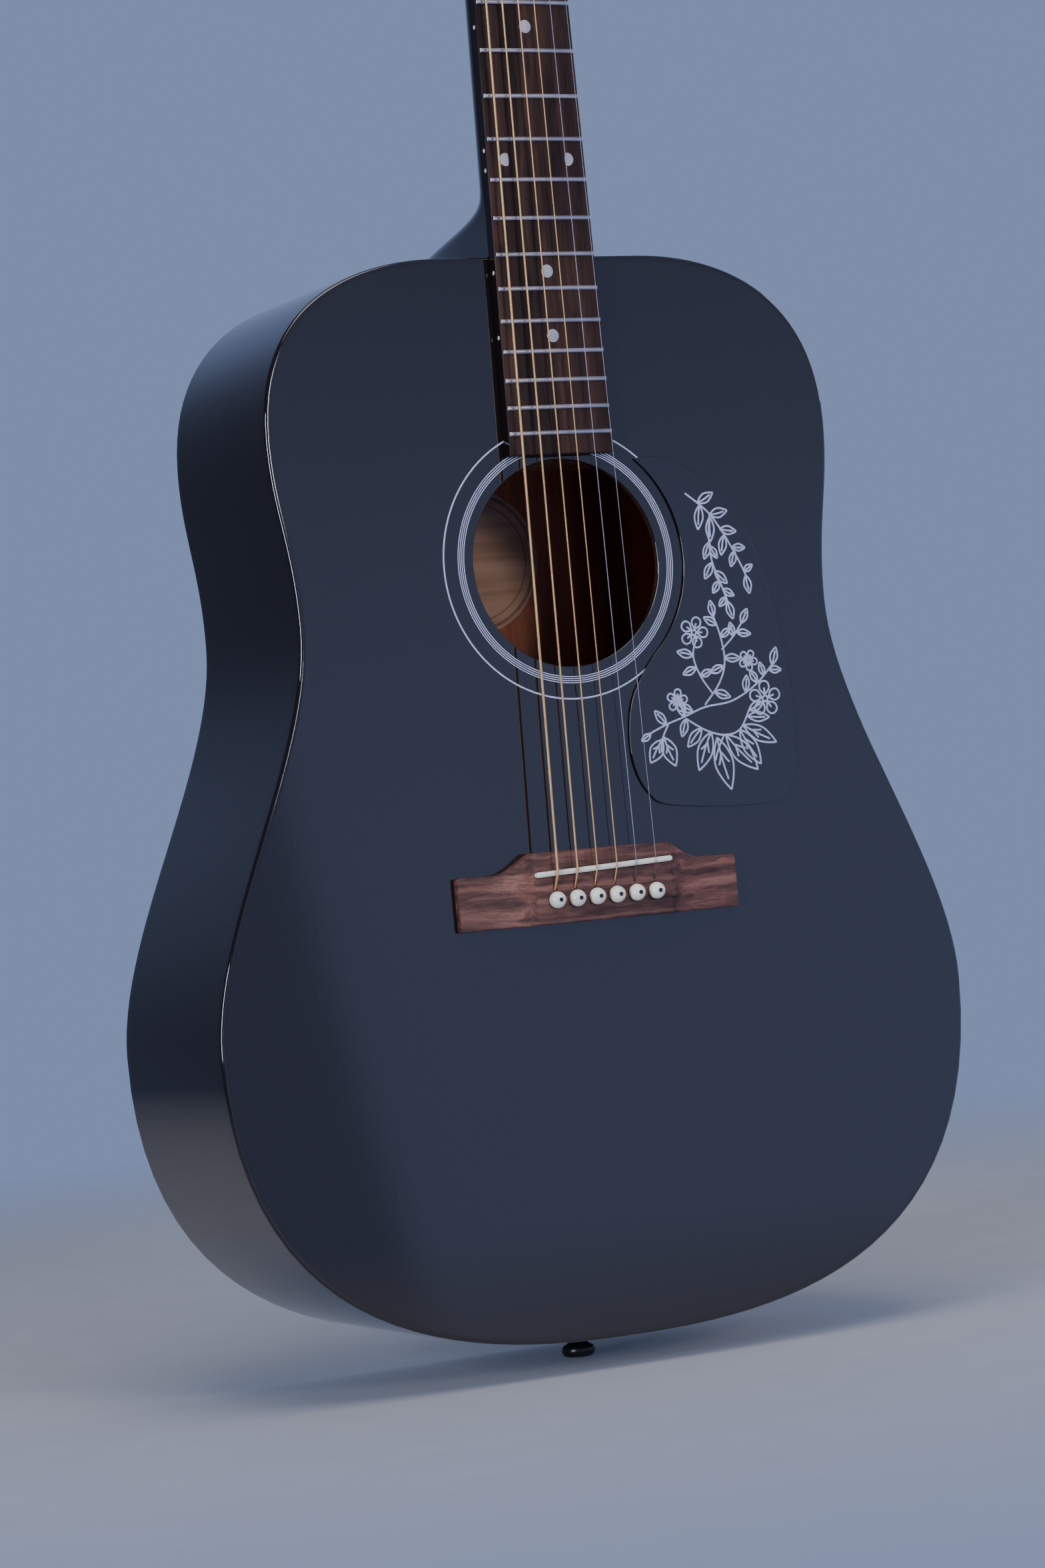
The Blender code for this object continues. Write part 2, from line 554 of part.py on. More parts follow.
def make_neck():
    head = bpy.data.objects["headstock_frame"]
    heel_depth = DEPTH_NECK - HEEL_CAP_THICK - GAP
    run = Z_NUT - Z_JOINT
    sections = []
    for up in (GAP, 0.006, 0.012, 0.015, 0.018, 0.021, 0.024, 0.028, 0.033, 0.039, 0.052, 0.13, 0.24, run):
        share = min(max((up - HEEL_FLAT) / (HEEL_REACH - HEEL_FLAT), 0), 1)
        heel = (0.5 + 0.5 * cos(pi * share)) ** HEEL_SWEEP
        depth = NECK_DEPTH_BODY + (NECK_DEPTH_NUT - NECK_DEPTH_BODY) * up / run
        depth += (heel_depth - depth) * heel
        z = Z_JOINT + up
        sections.append(neck_section(z, FACE_Y, board_half(z), depth, heel))
    half = board_half(Z_NUT)
    end = Z_NUT + NUT_THICK
    sections.append(neck_section(end, FACE_Y, half, NECK_DEPTH_NUT, 0))
    sections.append(neck_section(end + 0.012, FACE_Y + 0.012 * tan(HEAD_ANGLE) + 0.0015,
                                 half - 0.002, HEAD_THICK - 0.003, 0))
    neck = loft("neck", sections)

    edge = [tuple(point) for point in smooth(HEAD_EDGE, 3)]
    loop = edge + [(-x, z) for x, z in reversed(edge[:-1])]
    holes = [circle(side * post_x(up), up, sleeve_r() + GAP, 20) for side in (-1, 1) for up in TUNER_UP]
    headstock = as_mesh(plate("headstock", [loop] + holes, 0, HEAD_THICK, parent=head))
    joined(neck, "UNION", headstock)

    deep = FACE_Y + ROD_TALL + 2 * GAP
    channel = box("rod_channel", (-ROD_WIDE / 2 - GAP, FACE_Y - 0.01, Z_JOINT + ROD_FROM_BODY - GAP),
                  (ROD_WIDE / 2 + GAP, deep, Z_NUT + ROD_PAST_NUT + 0.001))
    pocket = box("rod_pocket", (-ROD_WIDE, FACE_Y - 0.01, Z_NUT + ROD_PAST_NUT - 0.001),
                 (ROD_WIDE, deep, Z_NUT + ROD_PAST_NUT + 0.020))
    joined(neck, "DIFFERENCE", channel, pocket)
    finished(neck, "black_lacquer")

    rod = box("truss_rod", (-ROD_WIDE / 2, FACE_Y + GAP, Z_JOINT + ROD_FROM_BODY),
              (ROD_WIDE / 2, FACE_Y + GAP + ROD_TALL, Z_NUT + ROD_PAST_NUT - 0.008))
    middle = FACE_Y + GAP + ROD_TALL / 2
    nut = cylinder("rod_nut", ROD_WIDE / 2 - GAP, (0, middle, Z_NUT + ROD_PAST_NUT - 0.010),
                   (0, middle, Z_NUT + ROD_PAST_NUT), 12)
    finished(joined(rod, "UNION", nut), "steel")

    cover = smooth([(0, TRUSS_COVER_LOW), (TRUSS_COVER_HALF, TRUSS_COVER_LOW),
                    (TRUSS_COVER_HALF * 0.93, TRUSS_COVER_LOW + 0.016),
                    (TRUSS_COVER_HALF * 0.45, TRUSS_COVER_HIGH - 0.012), (0, TRUSS_COVER_HIGH),
                    (-TRUSS_COVER_HALF * 0.45, TRUSS_COVER_HIGH - 0.012),
                    (-TRUSS_COVER_HALF * 0.93, TRUSS_COVER_LOW + 0.016),
                    (-TRUSS_COVER_HALF, TRUSS_COVER_LOW)], 4, closed=True)
    cover = plate("truss_rod_cover", [[tuple(p) for p in cover]], -GAP - TRUSS_COVER_THICK, -GAP, parent=head)
    finished(cover, "black_plastic")

    tip = [(0, Z_JOINT + GAP + HEEL_CAP_LONG)]
    for i in range(1, 9):
        angle = pi / 2 * (1 - i / 8)
        tip.append((HEEL_TIP_HALF * cos(angle), Z_JOINT + GAP + HEEL_CAP_LONG * sin(angle)))
    loop = tip + [(-x, z) for x, z in reversed(tip[1:])]
    front = FACE_Y + heel_depth + GAP
    finished(plate("heel_cap", [loop], front, front + HEEL_CAP_THICK), "black_plastic")


def make_fingerboard():
    end = Z_NUT - BOARD_LONG
    back, front = FACE_Y - GAP, FACE_Y - BOARD_THICK
    sections = [[(-half, back, z), (half, back, z), (half, front, z), (-half, front, z)]
                for z, half in ((end, board_half(end)), (Z_NUT - GAP, board_half(Z_NUT)))]
    board = loft("fingerboard", sections)
    bm = bmesh.new()
    for number in range(1, FRETS + 1):
        z = Z_NUT - fret_from_nut(number)
        long = 2 * board_half(z) - 0.0006
        shape = Matrix.LocRotScale((0, front, z), None, (1, FRET_TALL * 2 / FRET_WIDE, 1))
        bmesh.ops.create_cone(bm, cap_ends=True, segments=8, radius1=FRET_WIDE / 2, radius2=FRET_WIDE / 2,
                              depth=long, matrix=shape @ Matrix.Rotation(pi / 2, 4, "Y"))
    mesh = bpy.data.meshes.new("frets")
    bm.to_mesh(mesh)
    bm.free()
    finished(joined(board, "UNION", placed("frets", mesh)), "rosewood")


def nut_slot_y():
    return FACE_Y - BOARD_THICK - FRET_TALL - 0.0002


def make_nut():
    nut = box("nut", (-NUT_WIDTH / 2, FACE_Y - NUT_TALL, Z_NUT + GAP / 2),
              (NUT_WIDTH / 2, FACE_Y - GAP, Z_NUT + NUT_THICK))
    modified(nut, "BEVEL", width=0.0006, segments=2)
    bm = bmesh.new()
    for number, gauge in enumerate(GAUGES):
        wide = gauge + 2 * GAP
        place = Matrix.LocRotScale(((number - 2.5) * NUT_PITCH, nut_slot_y() - 0.003, Z_NUT), None,
                                   (wide, 0.006, 0.03))
        bmesh.ops.create_cube(bm, matrix=place)
    mesh = bpy.data.meshes.new("nut_slots")
    bm.to_mesh(mesh)
    bm.free()
    finished(joined(nut, "DIFFERENCE", placed("nut_slots", mesh)), "bone")


# ---------------------------------------------------------------- tuners

def head_half(up):
    """Half width of the headstock at this height in its own frame."""
    edge = smooth(HEAD_EDGE, 3)
    for a, b in zip(edge, edge[1:]):
        if a.y <= up <= b.y and b.y > a.y:
            return a.x + (b.x - a.x) * (up - a.y) / (b.y - a.y)
    return 0.0


def post_x(up):
    return head_half(up) - TUNER_INSET


def sleeve_r():
    return POST_R + RUNNING + SLEEVE_WALL


def gear_middle():
    """How far behind the headstock's face the gear's middle lies."""
    return HEAD_THICK + GAP + HOUSING_FLOOR + GAP + GEAR_THICK / 2


def worm_up():
    return GEAR_R + WORM_R + GAP


def make_headstock_frame():
    face = (0, FACE_Y + HEAD_DROP, Z_NUT + NUT_THICK)
    empty = placed("headstock_frame", None, location=face, turn=(-HEAD_ANGLE, 0, 0))
    empty.empty_display_size = 0.02


def housing_mesh(side):
    """One worm housing with its sleeve, about the post's axis, its key coming out towards side."""
    front, back = HEAD_THICK + GAP, HEAD_THICK + GAP + HOUSING_TALL
    chamber = GEAR_R + RUNNING
    tunnel = WORM_R + RUNNING
    wide = chamber + HOUSING_WALL
    middle = gear_middle()
    case = box("housing", (-wide, front, -wide), (wide, back, worm_up() + tunnel + HOUSING_WALL))
    modified(case, "BEVEL", width=0.0015, segments=1)
    sleeve = cylinder("sleeve", sleeve_r(), (0, GAP, 0), (0, front + 0.001, 0), 14)
    joined(case, "UNION", sleeve)
    room = (0, front + HOUSING_FLOOR, 0), (0, middle + GEAR_THICK / 2 + GAP, 0)
    joined(case, "DIFFERENCE",
           cylinder("gear_room", chamber, *room, 18),
           cylinder("post_way", POST_R + RUNNING, (0, -0.01, 0), (0, middle, 0), 14),
           cylinder("worm_way", tunnel, (-side * (chamber + 0.0004), middle, worm_up()),
                    (side * 0.03, middle, worm_up()), 12))
    solid = as_mesh(case)
    mesh = solid.data
    # The bevelled box's own place goes into the mesh, so that its origin is on the post's axis.
    mesh.transform(Matrix.Translation(solid.location))
    bpy.data.objects.remove(solid)
    return mesh


def key_mesh():
    """Worm, stem, collar and button in one, turned about its own Z, which points outwards."""
    chamber = GEAR_R + RUNNING
    wall = chamber + HOUSING_WALL
    stem = turned("key", [(0, BUTTON_OUT), (KEY_STEM_R, BUTTON_OUT), (KEY_STEM_R, wall + 0.0035),
                          (KEY_COLLAR_R, wall + 0.003), (KEY_COLLAR_R, wall + 0.0008),
                          (WORM_R, wall + 0.0005), (WORM_R, -chamber), (0, -chamber)], 10)
    bm = bmesh.new()
    place = Matrix.LocRotScale((0, 0, BUTTON_OUT), None, BUTTON_HALF)
    bmesh.ops.create_uvsphere(bm, u_segments=12, v_segments=7, radius=1, matrix=place)
    mesh = bpy.data.meshes.new("button")
    bm.to_mesh(mesh)
    bm.free()
    solid = as_mesh(joined(stem, "UNION", placed("button", mesh)))
    mesh = solid.data
    bpy.data.objects.remove(solid)
    return mesh


def post_mesh():
    middle = gear_middle()
    low, high = -middle - GEAR_THICK / 2, -middle + GEAR_THICK / 2
    post = turned("post", [(0, POST_PROUD), (POST_R * 0.8, POST_PROUD), (POST_R, POST_PROUD - 0.0008),
                           (POST_R, high), (GEAR_R, high), (GEAR_R, low), (0, low)], 16)
    solid = as_mesh(post)
    mesh = solid.data
    bpy.data.objects.remove(solid)
    return mesh


def make_tuners():
    """Tuners 1 to 6 follow the strings: up the bass side, then down the treble side."""
    head = bpy.data.objects["headstock_frame"]
    housings = {-1: housing_mesh(-1), 1: housing_mesh(1)}
    key, post = key_mesh(), post_mesh()
    for number in range(6):
        side, up = tuner_place(number)
        frame = placed(f"tuner_frame_{number + 1}", None, parent=head, location=(side * post_x(up), 0, up))
        frame.empty_display_size = 0.01
        axis = (0, gear_middle(), worm_up())
        pieces = (
            placed(f"tuner_housing_{number + 1}", housings[side].copy(), parent=frame),
            placed(f"tuner_post_{number + 1}", post.copy(), parent=frame, turn=(pi / 2, 0, 0)),
            placed(f"tuner_key_{number + 1}", key.copy(), parent=frame, location=axis,
                   turn=(0, side * pi / 2, 0)),
        )
        for piece in pieces:
            finished(piece, "nickel")


def tuner_place(number):
    """(side, height) of a string's tuner in the headstock's frame."""
    if number < 3:
        return -1, TUNER_UP[number]
    return 1, TUNER_UP[5 - number]


# ---------------------------------------------------------------- bridge

def make_bridge():
    front, low, high = FACE_Y - BRIDGE_TALL, Z_SADDLE - BRIDGE_TAILWARD, Z_SADDLE + BRIDGE_NECKWARD
    wing = Z_SADDLE + BRIDGE_WING_NECKWARD
    corner = BRIDGE_CORNER
    curve = interpolate_bezier(
        Vector((BRIDGE_WAIST_HALF, wing)), Vector((BRIDGE_WAIST_HALF - 0.008, wing)),
        Vector((BRIDGE_CENTRE_HALF + 0.004, high - 0.001)), Vector((BRIDGE_CENTRE_HALF, high)), 8)
    half = [(0, low), (BRIDGE_HALF - corner, low), (BRIDGE_HALF - corner * 0.3, low + corner * 0.3),
            (BRIDGE_HALF, low + corner), (BRIDGE_HALF, wing - corner),
            (BRIDGE_HALF - corner * 0.3, wing - corner * 0.3), (BRIDGE_HALF - corner, wing)]
    half += [tuple(point) for point in curve] + [(0, high)]
    holes = [circle(pin_x(i), Z_PINS, PIN_HOLE_R, 12) for i in range(6)]
    bridge = as_mesh(plate("bridge", [whole(half)] + holes, front - 0.001, FACE_Y - GAP))

    # The wings are scooped: seen from the tail, the blank keeps only what lies under this line.
    scoop = interpolate_bezier(Vector((BRIDGE_CENTRE_HALF + 0.001, BRIDGE_TALL)),
                               Vector((BRIDGE_CENTRE_HALF + 0.007, BRIDGE_WING_TALL * 1.3)),
                               Vector((BRIDGE_WAIST_HALF + 0.004, BRIDGE_WING_TALL * 1.1)),
                               Vector((BRIDGE_HALF + 0.002, BRIDGE_WING_TALL)), 8)
    line = [(0, BRIDGE_TALL)] + [tuple(p) for p in scoop]
    line = [(x, FACE_Y - tall) for x, tall in line]
    base = FACE_Y + 0.002
    loop = [(-BRIDGE_HALF - 0.002, base)] + [(-x, y) for x, y in reversed(line)] + line[1:]
    loop.append((BRIDGE_HALF + 0.002, base))
    shape = loft("bridge_profile", [[(x, y, z) for x, y in loop] for z in (low - 0.01, high + 0.01)])
    joined(bridge, "INTERSECT", shape, solver="MANIFOLD")

    slot = box("saddle_slot", (-SADDLE_LONG / 2 - GAP, -SADDLE_SLOT - 0.002, -SADDLE_THICK / 2 - GAP),
               (SADDLE_LONG / 2 + GAP, SADDLE_SLOT, SADDLE_THICK / 2 + GAP))
    slot.location = (0, front, Z_SADDLE)
    slot.rotation_euler = (0, -SADDLE_SLANT, 0)
    joined(bridge, "DIFFERENCE", slot)

    # One sloping way for each string, from its pin hole up towards the saddle.
    bm = bmesh.new()
    for number, gauge in enumerate(GAUGES):
        low_point, high_point = (Vector(p) for p in string_at_bridge(number)[1:3])
        along = high_point - low_point
        slope = Matrix.Translation(low_point) @ along.to_track_quat("Z", "Y").to_matrix().to_4x4()
        size = Matrix.Diagonal((gauge + 0.0008, RAMP_DEEP, RAMP_LONG, 1))
        place = slope @ Matrix.Translation((0, 0, RAMP_SHIFT)) @ size
        drop = RAMP_DEEP / 2 - gauge / 2 - 1.5 * GAP
        bmesh.ops.create_cube(bm, matrix=Matrix.Translation((0, -drop, 0)) @ place)
    mesh = bpy.data.meshes.new("string_ramps")
    bm.to_mesh(mesh)
    bm.free()
    joined(bridge, "DIFFERENCE", placed("string_ramps", mesh))
    finished(bridge, "rosewood")


def make_saddle():
    bottom = FACE_Y - BRIDGE_TALL + SADDLE_SLOT - GAP
    saddle = box("saddle", (-SADDLE_LONG / 2, SADDLE_TOP_Y, -SADDLE_THICK / 2),
                 (SADDLE_LONG / 2, bottom, SADDLE_THICK / 2))
    saddle.location.z = Z_SADDLE
    saddle.rotation_euler = (0, -SADDLE_SLANT, 0)
    modified(saddle, "BEVEL", width=0.0012, segments=3)
    finished(saddle, "bone")


def make_pins():
    head_y = FACE_Y - BRIDGE_TALL - GAP
    profile = [(0, 0.0034), (0.0015, 0.0031), (0.0028, 0.0022), (PIN_HEAD_R, 0.0008), (PIN_HEAD_R, 0),
               (PIN_HOLE_R - GAP, 0), (PIN_HOLE_R * 0.72, -PIN_SHANK), (0, -PIN_SHANK)]
    for number in range(6):
        pin = turned(f"bridge_pin_{number + 1}", profile, 12, location=(pin_x(number), head_y, Z_PINS),
                     turn=(pi / 2, 0, 0))
        # The flute faces the saddle and lets the string pass.
        flute = box("flute", (-0.004, GAP, PIN_FLAT), (0.004, PIN_SHANK + 0.001, 0.006))
        flute.location += Vector((pin_x(number), head_y, Z_PINS))
        finished(joined(pin, "DIFFERENCE", flute), "bone")


# ---------------------------------------------------------------- strings, guard and button

def saddle_z(x):
    return Z_SADDLE + x * tan(SADDLE_SLANT)


def string_at_bridge(number):
    """The string's centre in its hole, at the hole's mouth, over the saddle."""
    x, radius = pin_x(number), GAUGES[number] / 2
    z = Z_PINS + (PIN_FLAT + PIN_HOLE_R) / 2
    mouth = FACE_Y - BRIDGE_TALL + 0.0022
    return [(x, TOP_INSIDE_Y + PLATE_THICK + 0.002, z), (x, mouth, z),
            (x, SADDLE_TOP_Y - GAP - radius, saddle_z(x))]


def string_at_post(number):
    """World points of the string's way from the nut to its turns round the post."""
    head = bpy.data.objects["headstock_frame"].matrix_world
    side, up = tuner_place(number)
    radius = GAUGES[number] / 2
    reach = POST_R + GAP + radius
    turns, per_turn = WRAPS[number], 10
    found = []
    for i in range(turns * per_turn + 1):
        angle = 2 * pi * i / per_turn
        x = side * (post_x(up) - reach * cos(angle))
        z = up + reach * sin(angle)
        y = -WRAP_START - (GAUGES[number] + WRAP_SPARE) * i / per_turn
        found.append(head @ Vector((x, y, z)))
    return found


def make_strings():
    for number, gauge in enumerate(GAUGES):
        radius = gauge / 2
        x = (number - 2.5) * NUT_PITCH
        y = nut_slot_y() - GAP - radius
        points = string_at_bridge(number) + [(x, y, Z_NUT), (x, y, Z_NUT + NUT_THICK + 0.0006)]
        points += string_at_post(number)
        curve = bpy.data.curves.new(f"string_{number + 1}", "CURVE")
        curve.dimensions = "3D"
        curve.bevel_depth = radius
        curve.bevel_resolution = 1
        curve.use_fill_caps = True
        spline = curve.splines.new("POLY")
        spline.points.add(len(points) - 1)
        for point, place in zip(spline.points, points):
            point.co = (*place, 1)
        finished(placed(curve.name, curve), "bronze" if number < 4 else "steel")


def make_pickguard():
    steps = 14
    arc = []
    for i in range(steps + 1):
        angle = GUARD_ARC_FROM + (GUARD_ARC_TO - GUARD_ARC_FROM) * i / steps
        arc.append((GUARD_ARC_R * cos(angle), Z_HOLE + GUARD_ARC_R * sin(angle)))
    span = Z_HOLE - (Z_SADDLE + BRIDGE_WING_NECKWARD)
    edge = smooth([arc[-1]] + [(x, Z_HOLE - down * span) for x, down in GUARD_EDGE] + [arc[0]], 4)
    loop = arc + [tuple(point) for point in edge[1:-1]]
    finished(plate("pickguard", [loop], FACE_Y - GAP - GUARD_THICK, FACE_Y - GAP), "black_plastic")


def make_end_button():
    r = BUTTON_HEAD_R
    proud = BUTTON_PROUD - GAP
    profile = [(0, proud + BUTTON_SHANK), (BUTTON_SHANK_R * 0.9, proud + BUTTON_SHANK),
               (BUTTON_SHANK_R, proud), (r * 0.86, proud), (r * 0.86, proud - 0.0012),
               (r * 0.6, proud - 0.0022), (r * 0.54, proud - 0.005), (r * 0.62, proud - 0.0072),
               (r * 0.93, proud - 0.0088),
               (r, proud - 0.0105), (r * 0.96, 0.0016), (r * 0.85, 0.0004), (r * 0.74, 0), (0, 0)]
    finished(turned("end_button", profile, 18), "black_plastic")


make_headstock_frame()
make_top()
make_back()
make_sides()
make_linings()
make_blocks()
make_top_braces()
make_back_braces()
make_neck()
make_fingerboard()
make_nut()
make_tuners()
make_bridge()
make_saddle()
make_pins()
make_pickguard()
make_end_button()
bpy.context.view_layer.update()
make_strings()
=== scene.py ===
from math import cos, pi, radians, sin, sqrt, tan

import bmesh
import bpy
from mathutils import Matrix, Quaternion, Vector
from mathutils.geometry import interpolate_bezier


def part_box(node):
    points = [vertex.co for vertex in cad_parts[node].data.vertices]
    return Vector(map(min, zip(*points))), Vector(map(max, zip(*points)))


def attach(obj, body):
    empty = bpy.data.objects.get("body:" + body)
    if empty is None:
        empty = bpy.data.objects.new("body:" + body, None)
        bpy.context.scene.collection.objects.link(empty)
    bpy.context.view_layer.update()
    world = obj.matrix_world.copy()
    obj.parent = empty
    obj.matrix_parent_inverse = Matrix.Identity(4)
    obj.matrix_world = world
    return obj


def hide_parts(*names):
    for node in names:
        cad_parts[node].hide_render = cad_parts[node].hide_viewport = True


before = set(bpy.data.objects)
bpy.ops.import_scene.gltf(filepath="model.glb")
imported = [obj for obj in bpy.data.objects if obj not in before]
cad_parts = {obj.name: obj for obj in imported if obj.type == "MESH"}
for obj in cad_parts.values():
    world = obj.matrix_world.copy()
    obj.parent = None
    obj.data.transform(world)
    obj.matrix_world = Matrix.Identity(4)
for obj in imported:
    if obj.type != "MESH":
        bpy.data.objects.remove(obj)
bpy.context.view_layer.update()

# sizes that the frame doesn't hold
seam = 0.0003  # between glued pieces
scaleLength = 0.6477
holeR = 0.0491
holeGap = 0.0018  # from the soundhole to the fingerboard
pinHoleR = 0.0029
boardThick = 0.007
stringGap = 0.0002  # from a string to the first fret
gauges = (0.00135, 0.00107, 0.00081, 0.00061, 0.000406, 0.000305)
nutPitch = 0.0073

# places read from the frame
topLow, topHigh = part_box("top")
nutLow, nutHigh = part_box("nut")
saddleLow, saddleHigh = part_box("saddle")
pinBoxes = [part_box(f"bridge_pin_{n}") for n in range(1, 7)]
faceY, tailZ, jointZ = topLow.y, topLow.z, topHigh.z
nutZ = nutLow.z - seam / 2
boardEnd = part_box("fingerboard")[0].z
boardTop = faceY - boardThick
holeZ = boardEnd - holeGap - holeR
saddleZ = (saddleLow.z + saddleHigh.z) / 2
saddleTop = saddleLow.y
pinXs = [(low.x + high.x) / 2 for low, high in pinBoxes]
pinZ = (pinBoxes[0][0].z + pinBoxes[0][1].z) / 2


# modelling steps that the pieces share
def deselect():
    if bpy.context.object and bpy.context.object.mode != "OBJECT":
        bpy.ops.object.mode_set(mode="OBJECT")
    bpy.ops.object.select_all(action="DESELECT")


def activate(obj):
    deselect()
    obj.select_set(True)
    bpy.context.view_layer.objects.active = obj


def pick(obj, test, kind="FACE"):
    # in edit mode: selects the faces, edges or vertices that pass the test
    bpy.ops.mesh.select_mode(type=kind)
    bpy.ops.mesh.select_all(action="DESELECT")
    mesh = bmesh.from_edit_mesh(obj.data)
    things = {"FACE": mesh.faces, "EDGE": mesh.edges, "VERT": mesh.verts}[kind]
    for thing in things:
        thing.select = bool(test(thing))
    mesh.select_flush_mode()
    bmesh.update_edit_mesh(obj.data)


def applyModifier(obj, kind, **settings):
    activate(obj)
    change = obj.modifiers.new("made", kind)
    for name, value in settings.items():
        setattr(change, name, value)
    bpy.ops.object.modifier_apply(modifier=change.name)


def cut(obj, *cutters, how="DIFFERENCE", solver="EXACT"):
    for cutter in cutters:
        applyModifier(obj, "BOOLEAN", operation=how, object=cutter, solver=solver)
        bpy.data.objects.remove(cutter)
    return obj


def soften(obj, width, segments=2, angle=35):
    applyModifier(obj, "BEVEL", width=width, segments=segments, limit_method="ANGLE",
                  angle_limit=radians(angle), harden_normals=False)
    return obj


def settle(obj):
    # the object's place goes into its mesh
    activate(obj)
    bpy.ops.object.transform_apply(location=True, rotation=True, scale=True)
    return obj


def extrudeRings(name, rings, closed=False, caps=True):
    # a circle is extruded ring by ring, and each ring is moved to its own points
    deselect()
    bpy.ops.mesh.primitive_circle_add(vertices=len(rings[0]), radius=1)
    obj = bpy.context.object
    obj.name = name
    bpy.ops.object.mode_set(mode="EDIT")
    bpy.ops.mesh.select_mode(type="VERT")
    mesh = bmesh.from_edit_mesh(obj.data)
    mesh.verts.ensure_lookup_table()
    order = list(range(len(rings[0])))
    for index, point in zip(order, rings[0]):
        mesh.verts[index].co = point
    bpy.ops.mesh.select_all(action="SELECT")
    for ring in rings[1:]:
        bpy.ops.mesh.extrude_edges_move()
        mesh = bmesh.from_edit_mesh(obj.data)
        mesh.verts.index_update()
        mesh.verts.ensure_lookup_table()
        place = {index: position for position, index in enumerate(order)}
        fresh = [0] * len(order)
        for vert in mesh.verts:
            if vert.select:
                source = next(edge.other_vert(vert).index for edge in vert.link_edges
                              if not edge.other_vert(vert).select)
                fresh[place[source]] = vert.index
        for index, point in zip(fresh, ring):
            mesh.verts[index].co = point
        order = fresh
    first, last = set(range(len(order))), set(order)
    mesh = bmesh.from_edit_mesh(obj.data)
    mesh.verts.index_update()
    if closed:
        pick(obj, lambda edge: {v.index for v in edge.verts} <= first
             or {v.index for v in edge.verts} <= last, "EDGE")
        bpy.ops.mesh.bridge_edge_loops()
    elif caps:
        for end in (first, last):
            pick(obj, lambda vert: vert.index in end, "VERT")
            bpy.ops.mesh.edge_face_add()
    bpy.ops.mesh.select_all(action="SELECT")
    bpy.ops.mesh.normals_make_consistent(inside=False)
    bpy.ops.object.mode_set(mode="OBJECT")
    return obj


def turnedAt(place, degrees, axis):
    return Matrix.Translation(place) @ Matrix.Rotation(radians(degrees), 4, axis)


def turnedPiece(name, profile, steps=48, place=None):
    # (radius, height) stations about +Z, extruded as rings; place is a matrix
    rings = [[(r * cos(2 * pi * i / steps), r * sin(2 * pi * i / steps), h) for i in range(steps)]
             for r, h in profile]
    obj = extrudeRings(name, rings)
    if place is not None:
        obj.data.transform(place)
    return obj


def wires(name, lines, radius, roundness):
    # each line of points is drawn as a round wire, and all of them become one mesh
    deselect()
    bpy.ops.curve.primitive_nurbs_path_add()
    obj = bpy.context.object
    obj.name = name
    shape = obj.data
    shape.splines.clear()
    shape.dimensions = "3D"
    shape.bevel_depth = radius
    shape.bevel_resolution = roundness
    shape.use_fill_caps = True
    for line in lines:
        spline = shape.splines.new("POLY")
        spline.points.add(len(line) - 1)
        for point, place in zip(spline.points, line):
            point.co = (*place, 1)
    activate(obj)
    bpy.ops.object.convert(target="MESH")
    return bpy.context.object


def editWhole(obj):
    # edit mode, with everything selected
    activate(obj)
    bpy.ops.object.mode_set(mode="EDIT")
    bpy.ops.mesh.select_all(action="SELECT")


def leaveEdit():
    bpy.ops.object.mode_set(mode="OBJECT")


def block(name, low, high, bevel=0, segments=2):
    deselect()
    low, high = Vector(low), Vector(high)
    bpy.ops.mesh.primitive_cube_add(size=1, location=(low + high) / 2)
    obj = bpy.context.object
    obj.name = name
    obj.scale = high - low
    settle(obj)
    if bevel:
        soften(obj, bevel, segments)
    return obj


def rod(name, radius, start, end, steps=48):
    deselect()
    start, end = Vector(start), Vector(end)
    bpy.ops.mesh.primitive_cylinder_add(vertices=steps, radius=radius, depth=(end - start).length,
                                        location=(start + end) / 2)
    obj = bpy.context.object
    obj.name = name
    obj.rotation_mode = "QUATERNION"
    obj.rotation_quaternion = (end - start).to_track_quat("Z", "Y")
    return settle(obj)


def smoothLine(points, steps, closed=False):
    points = [Vector(p) for p in points]
    spans = len(points) if closed else len(points) - 1
    found = []
    for i in range(spans):
        if closed:
            a, b, c, d = (points[(i + k) % len(points)] for k in (-1, 0, 1, 2))
        else:
            a, b, c, d = (points[min(max(i + k, 0), len(points) - 1)] for k in (-1, 0, 1, 2))
        for step in range(steps):
            t = step / steps
            found.append(0.5 * (2 * b + (c - a) * t + (2 * a - 5 * b + 4 * c - d) * t * t
                                + (3 * b - a - 3 * c + d) * t ** 3))
    return found if closed else found + [points[-1]]


def insetLoop(loop, distance):
    # a closed (x, z) loop moved inwards, square to itself
    found = []
    for i, (x, z) in enumerate(loop):
        before, after = loop[i - 1], loop[(i + 1) % len(loop)]
        along = Vector((after[0] - before[0], after[1] - before[1])).normalized()
        found.append((x + along.y * distance, z - along.x * distance))
    return found


def plate(loop, *depths):
    # an (x, z) loop as rings at these depths
    return [[(x, y, z) for x, z in loop] for y in depths]


def paint(obj, number, test):
    # faces that pass test(centre, normal) take this material
    for face in obj.data.polygons:
        if test(face.center, face.normal):
            face.material_index = number


def finishPiece(obj, slot, materials, *nodes, body="guitar", smooth=35):
    settle(obj)
    bpy.ops.object.shade_smooth_by_angle(angle=radians(smooth))
    applyModifier(obj, "WEIGHTED_NORMAL", weight=80, keep_sharp=True)
    for material in materials if isinstance(materials, (list, tuple)) else [materials]:
        obj.data.materials.append(material)
    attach(obj, body)
    if nodes:
        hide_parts(*nodes)
    return obj


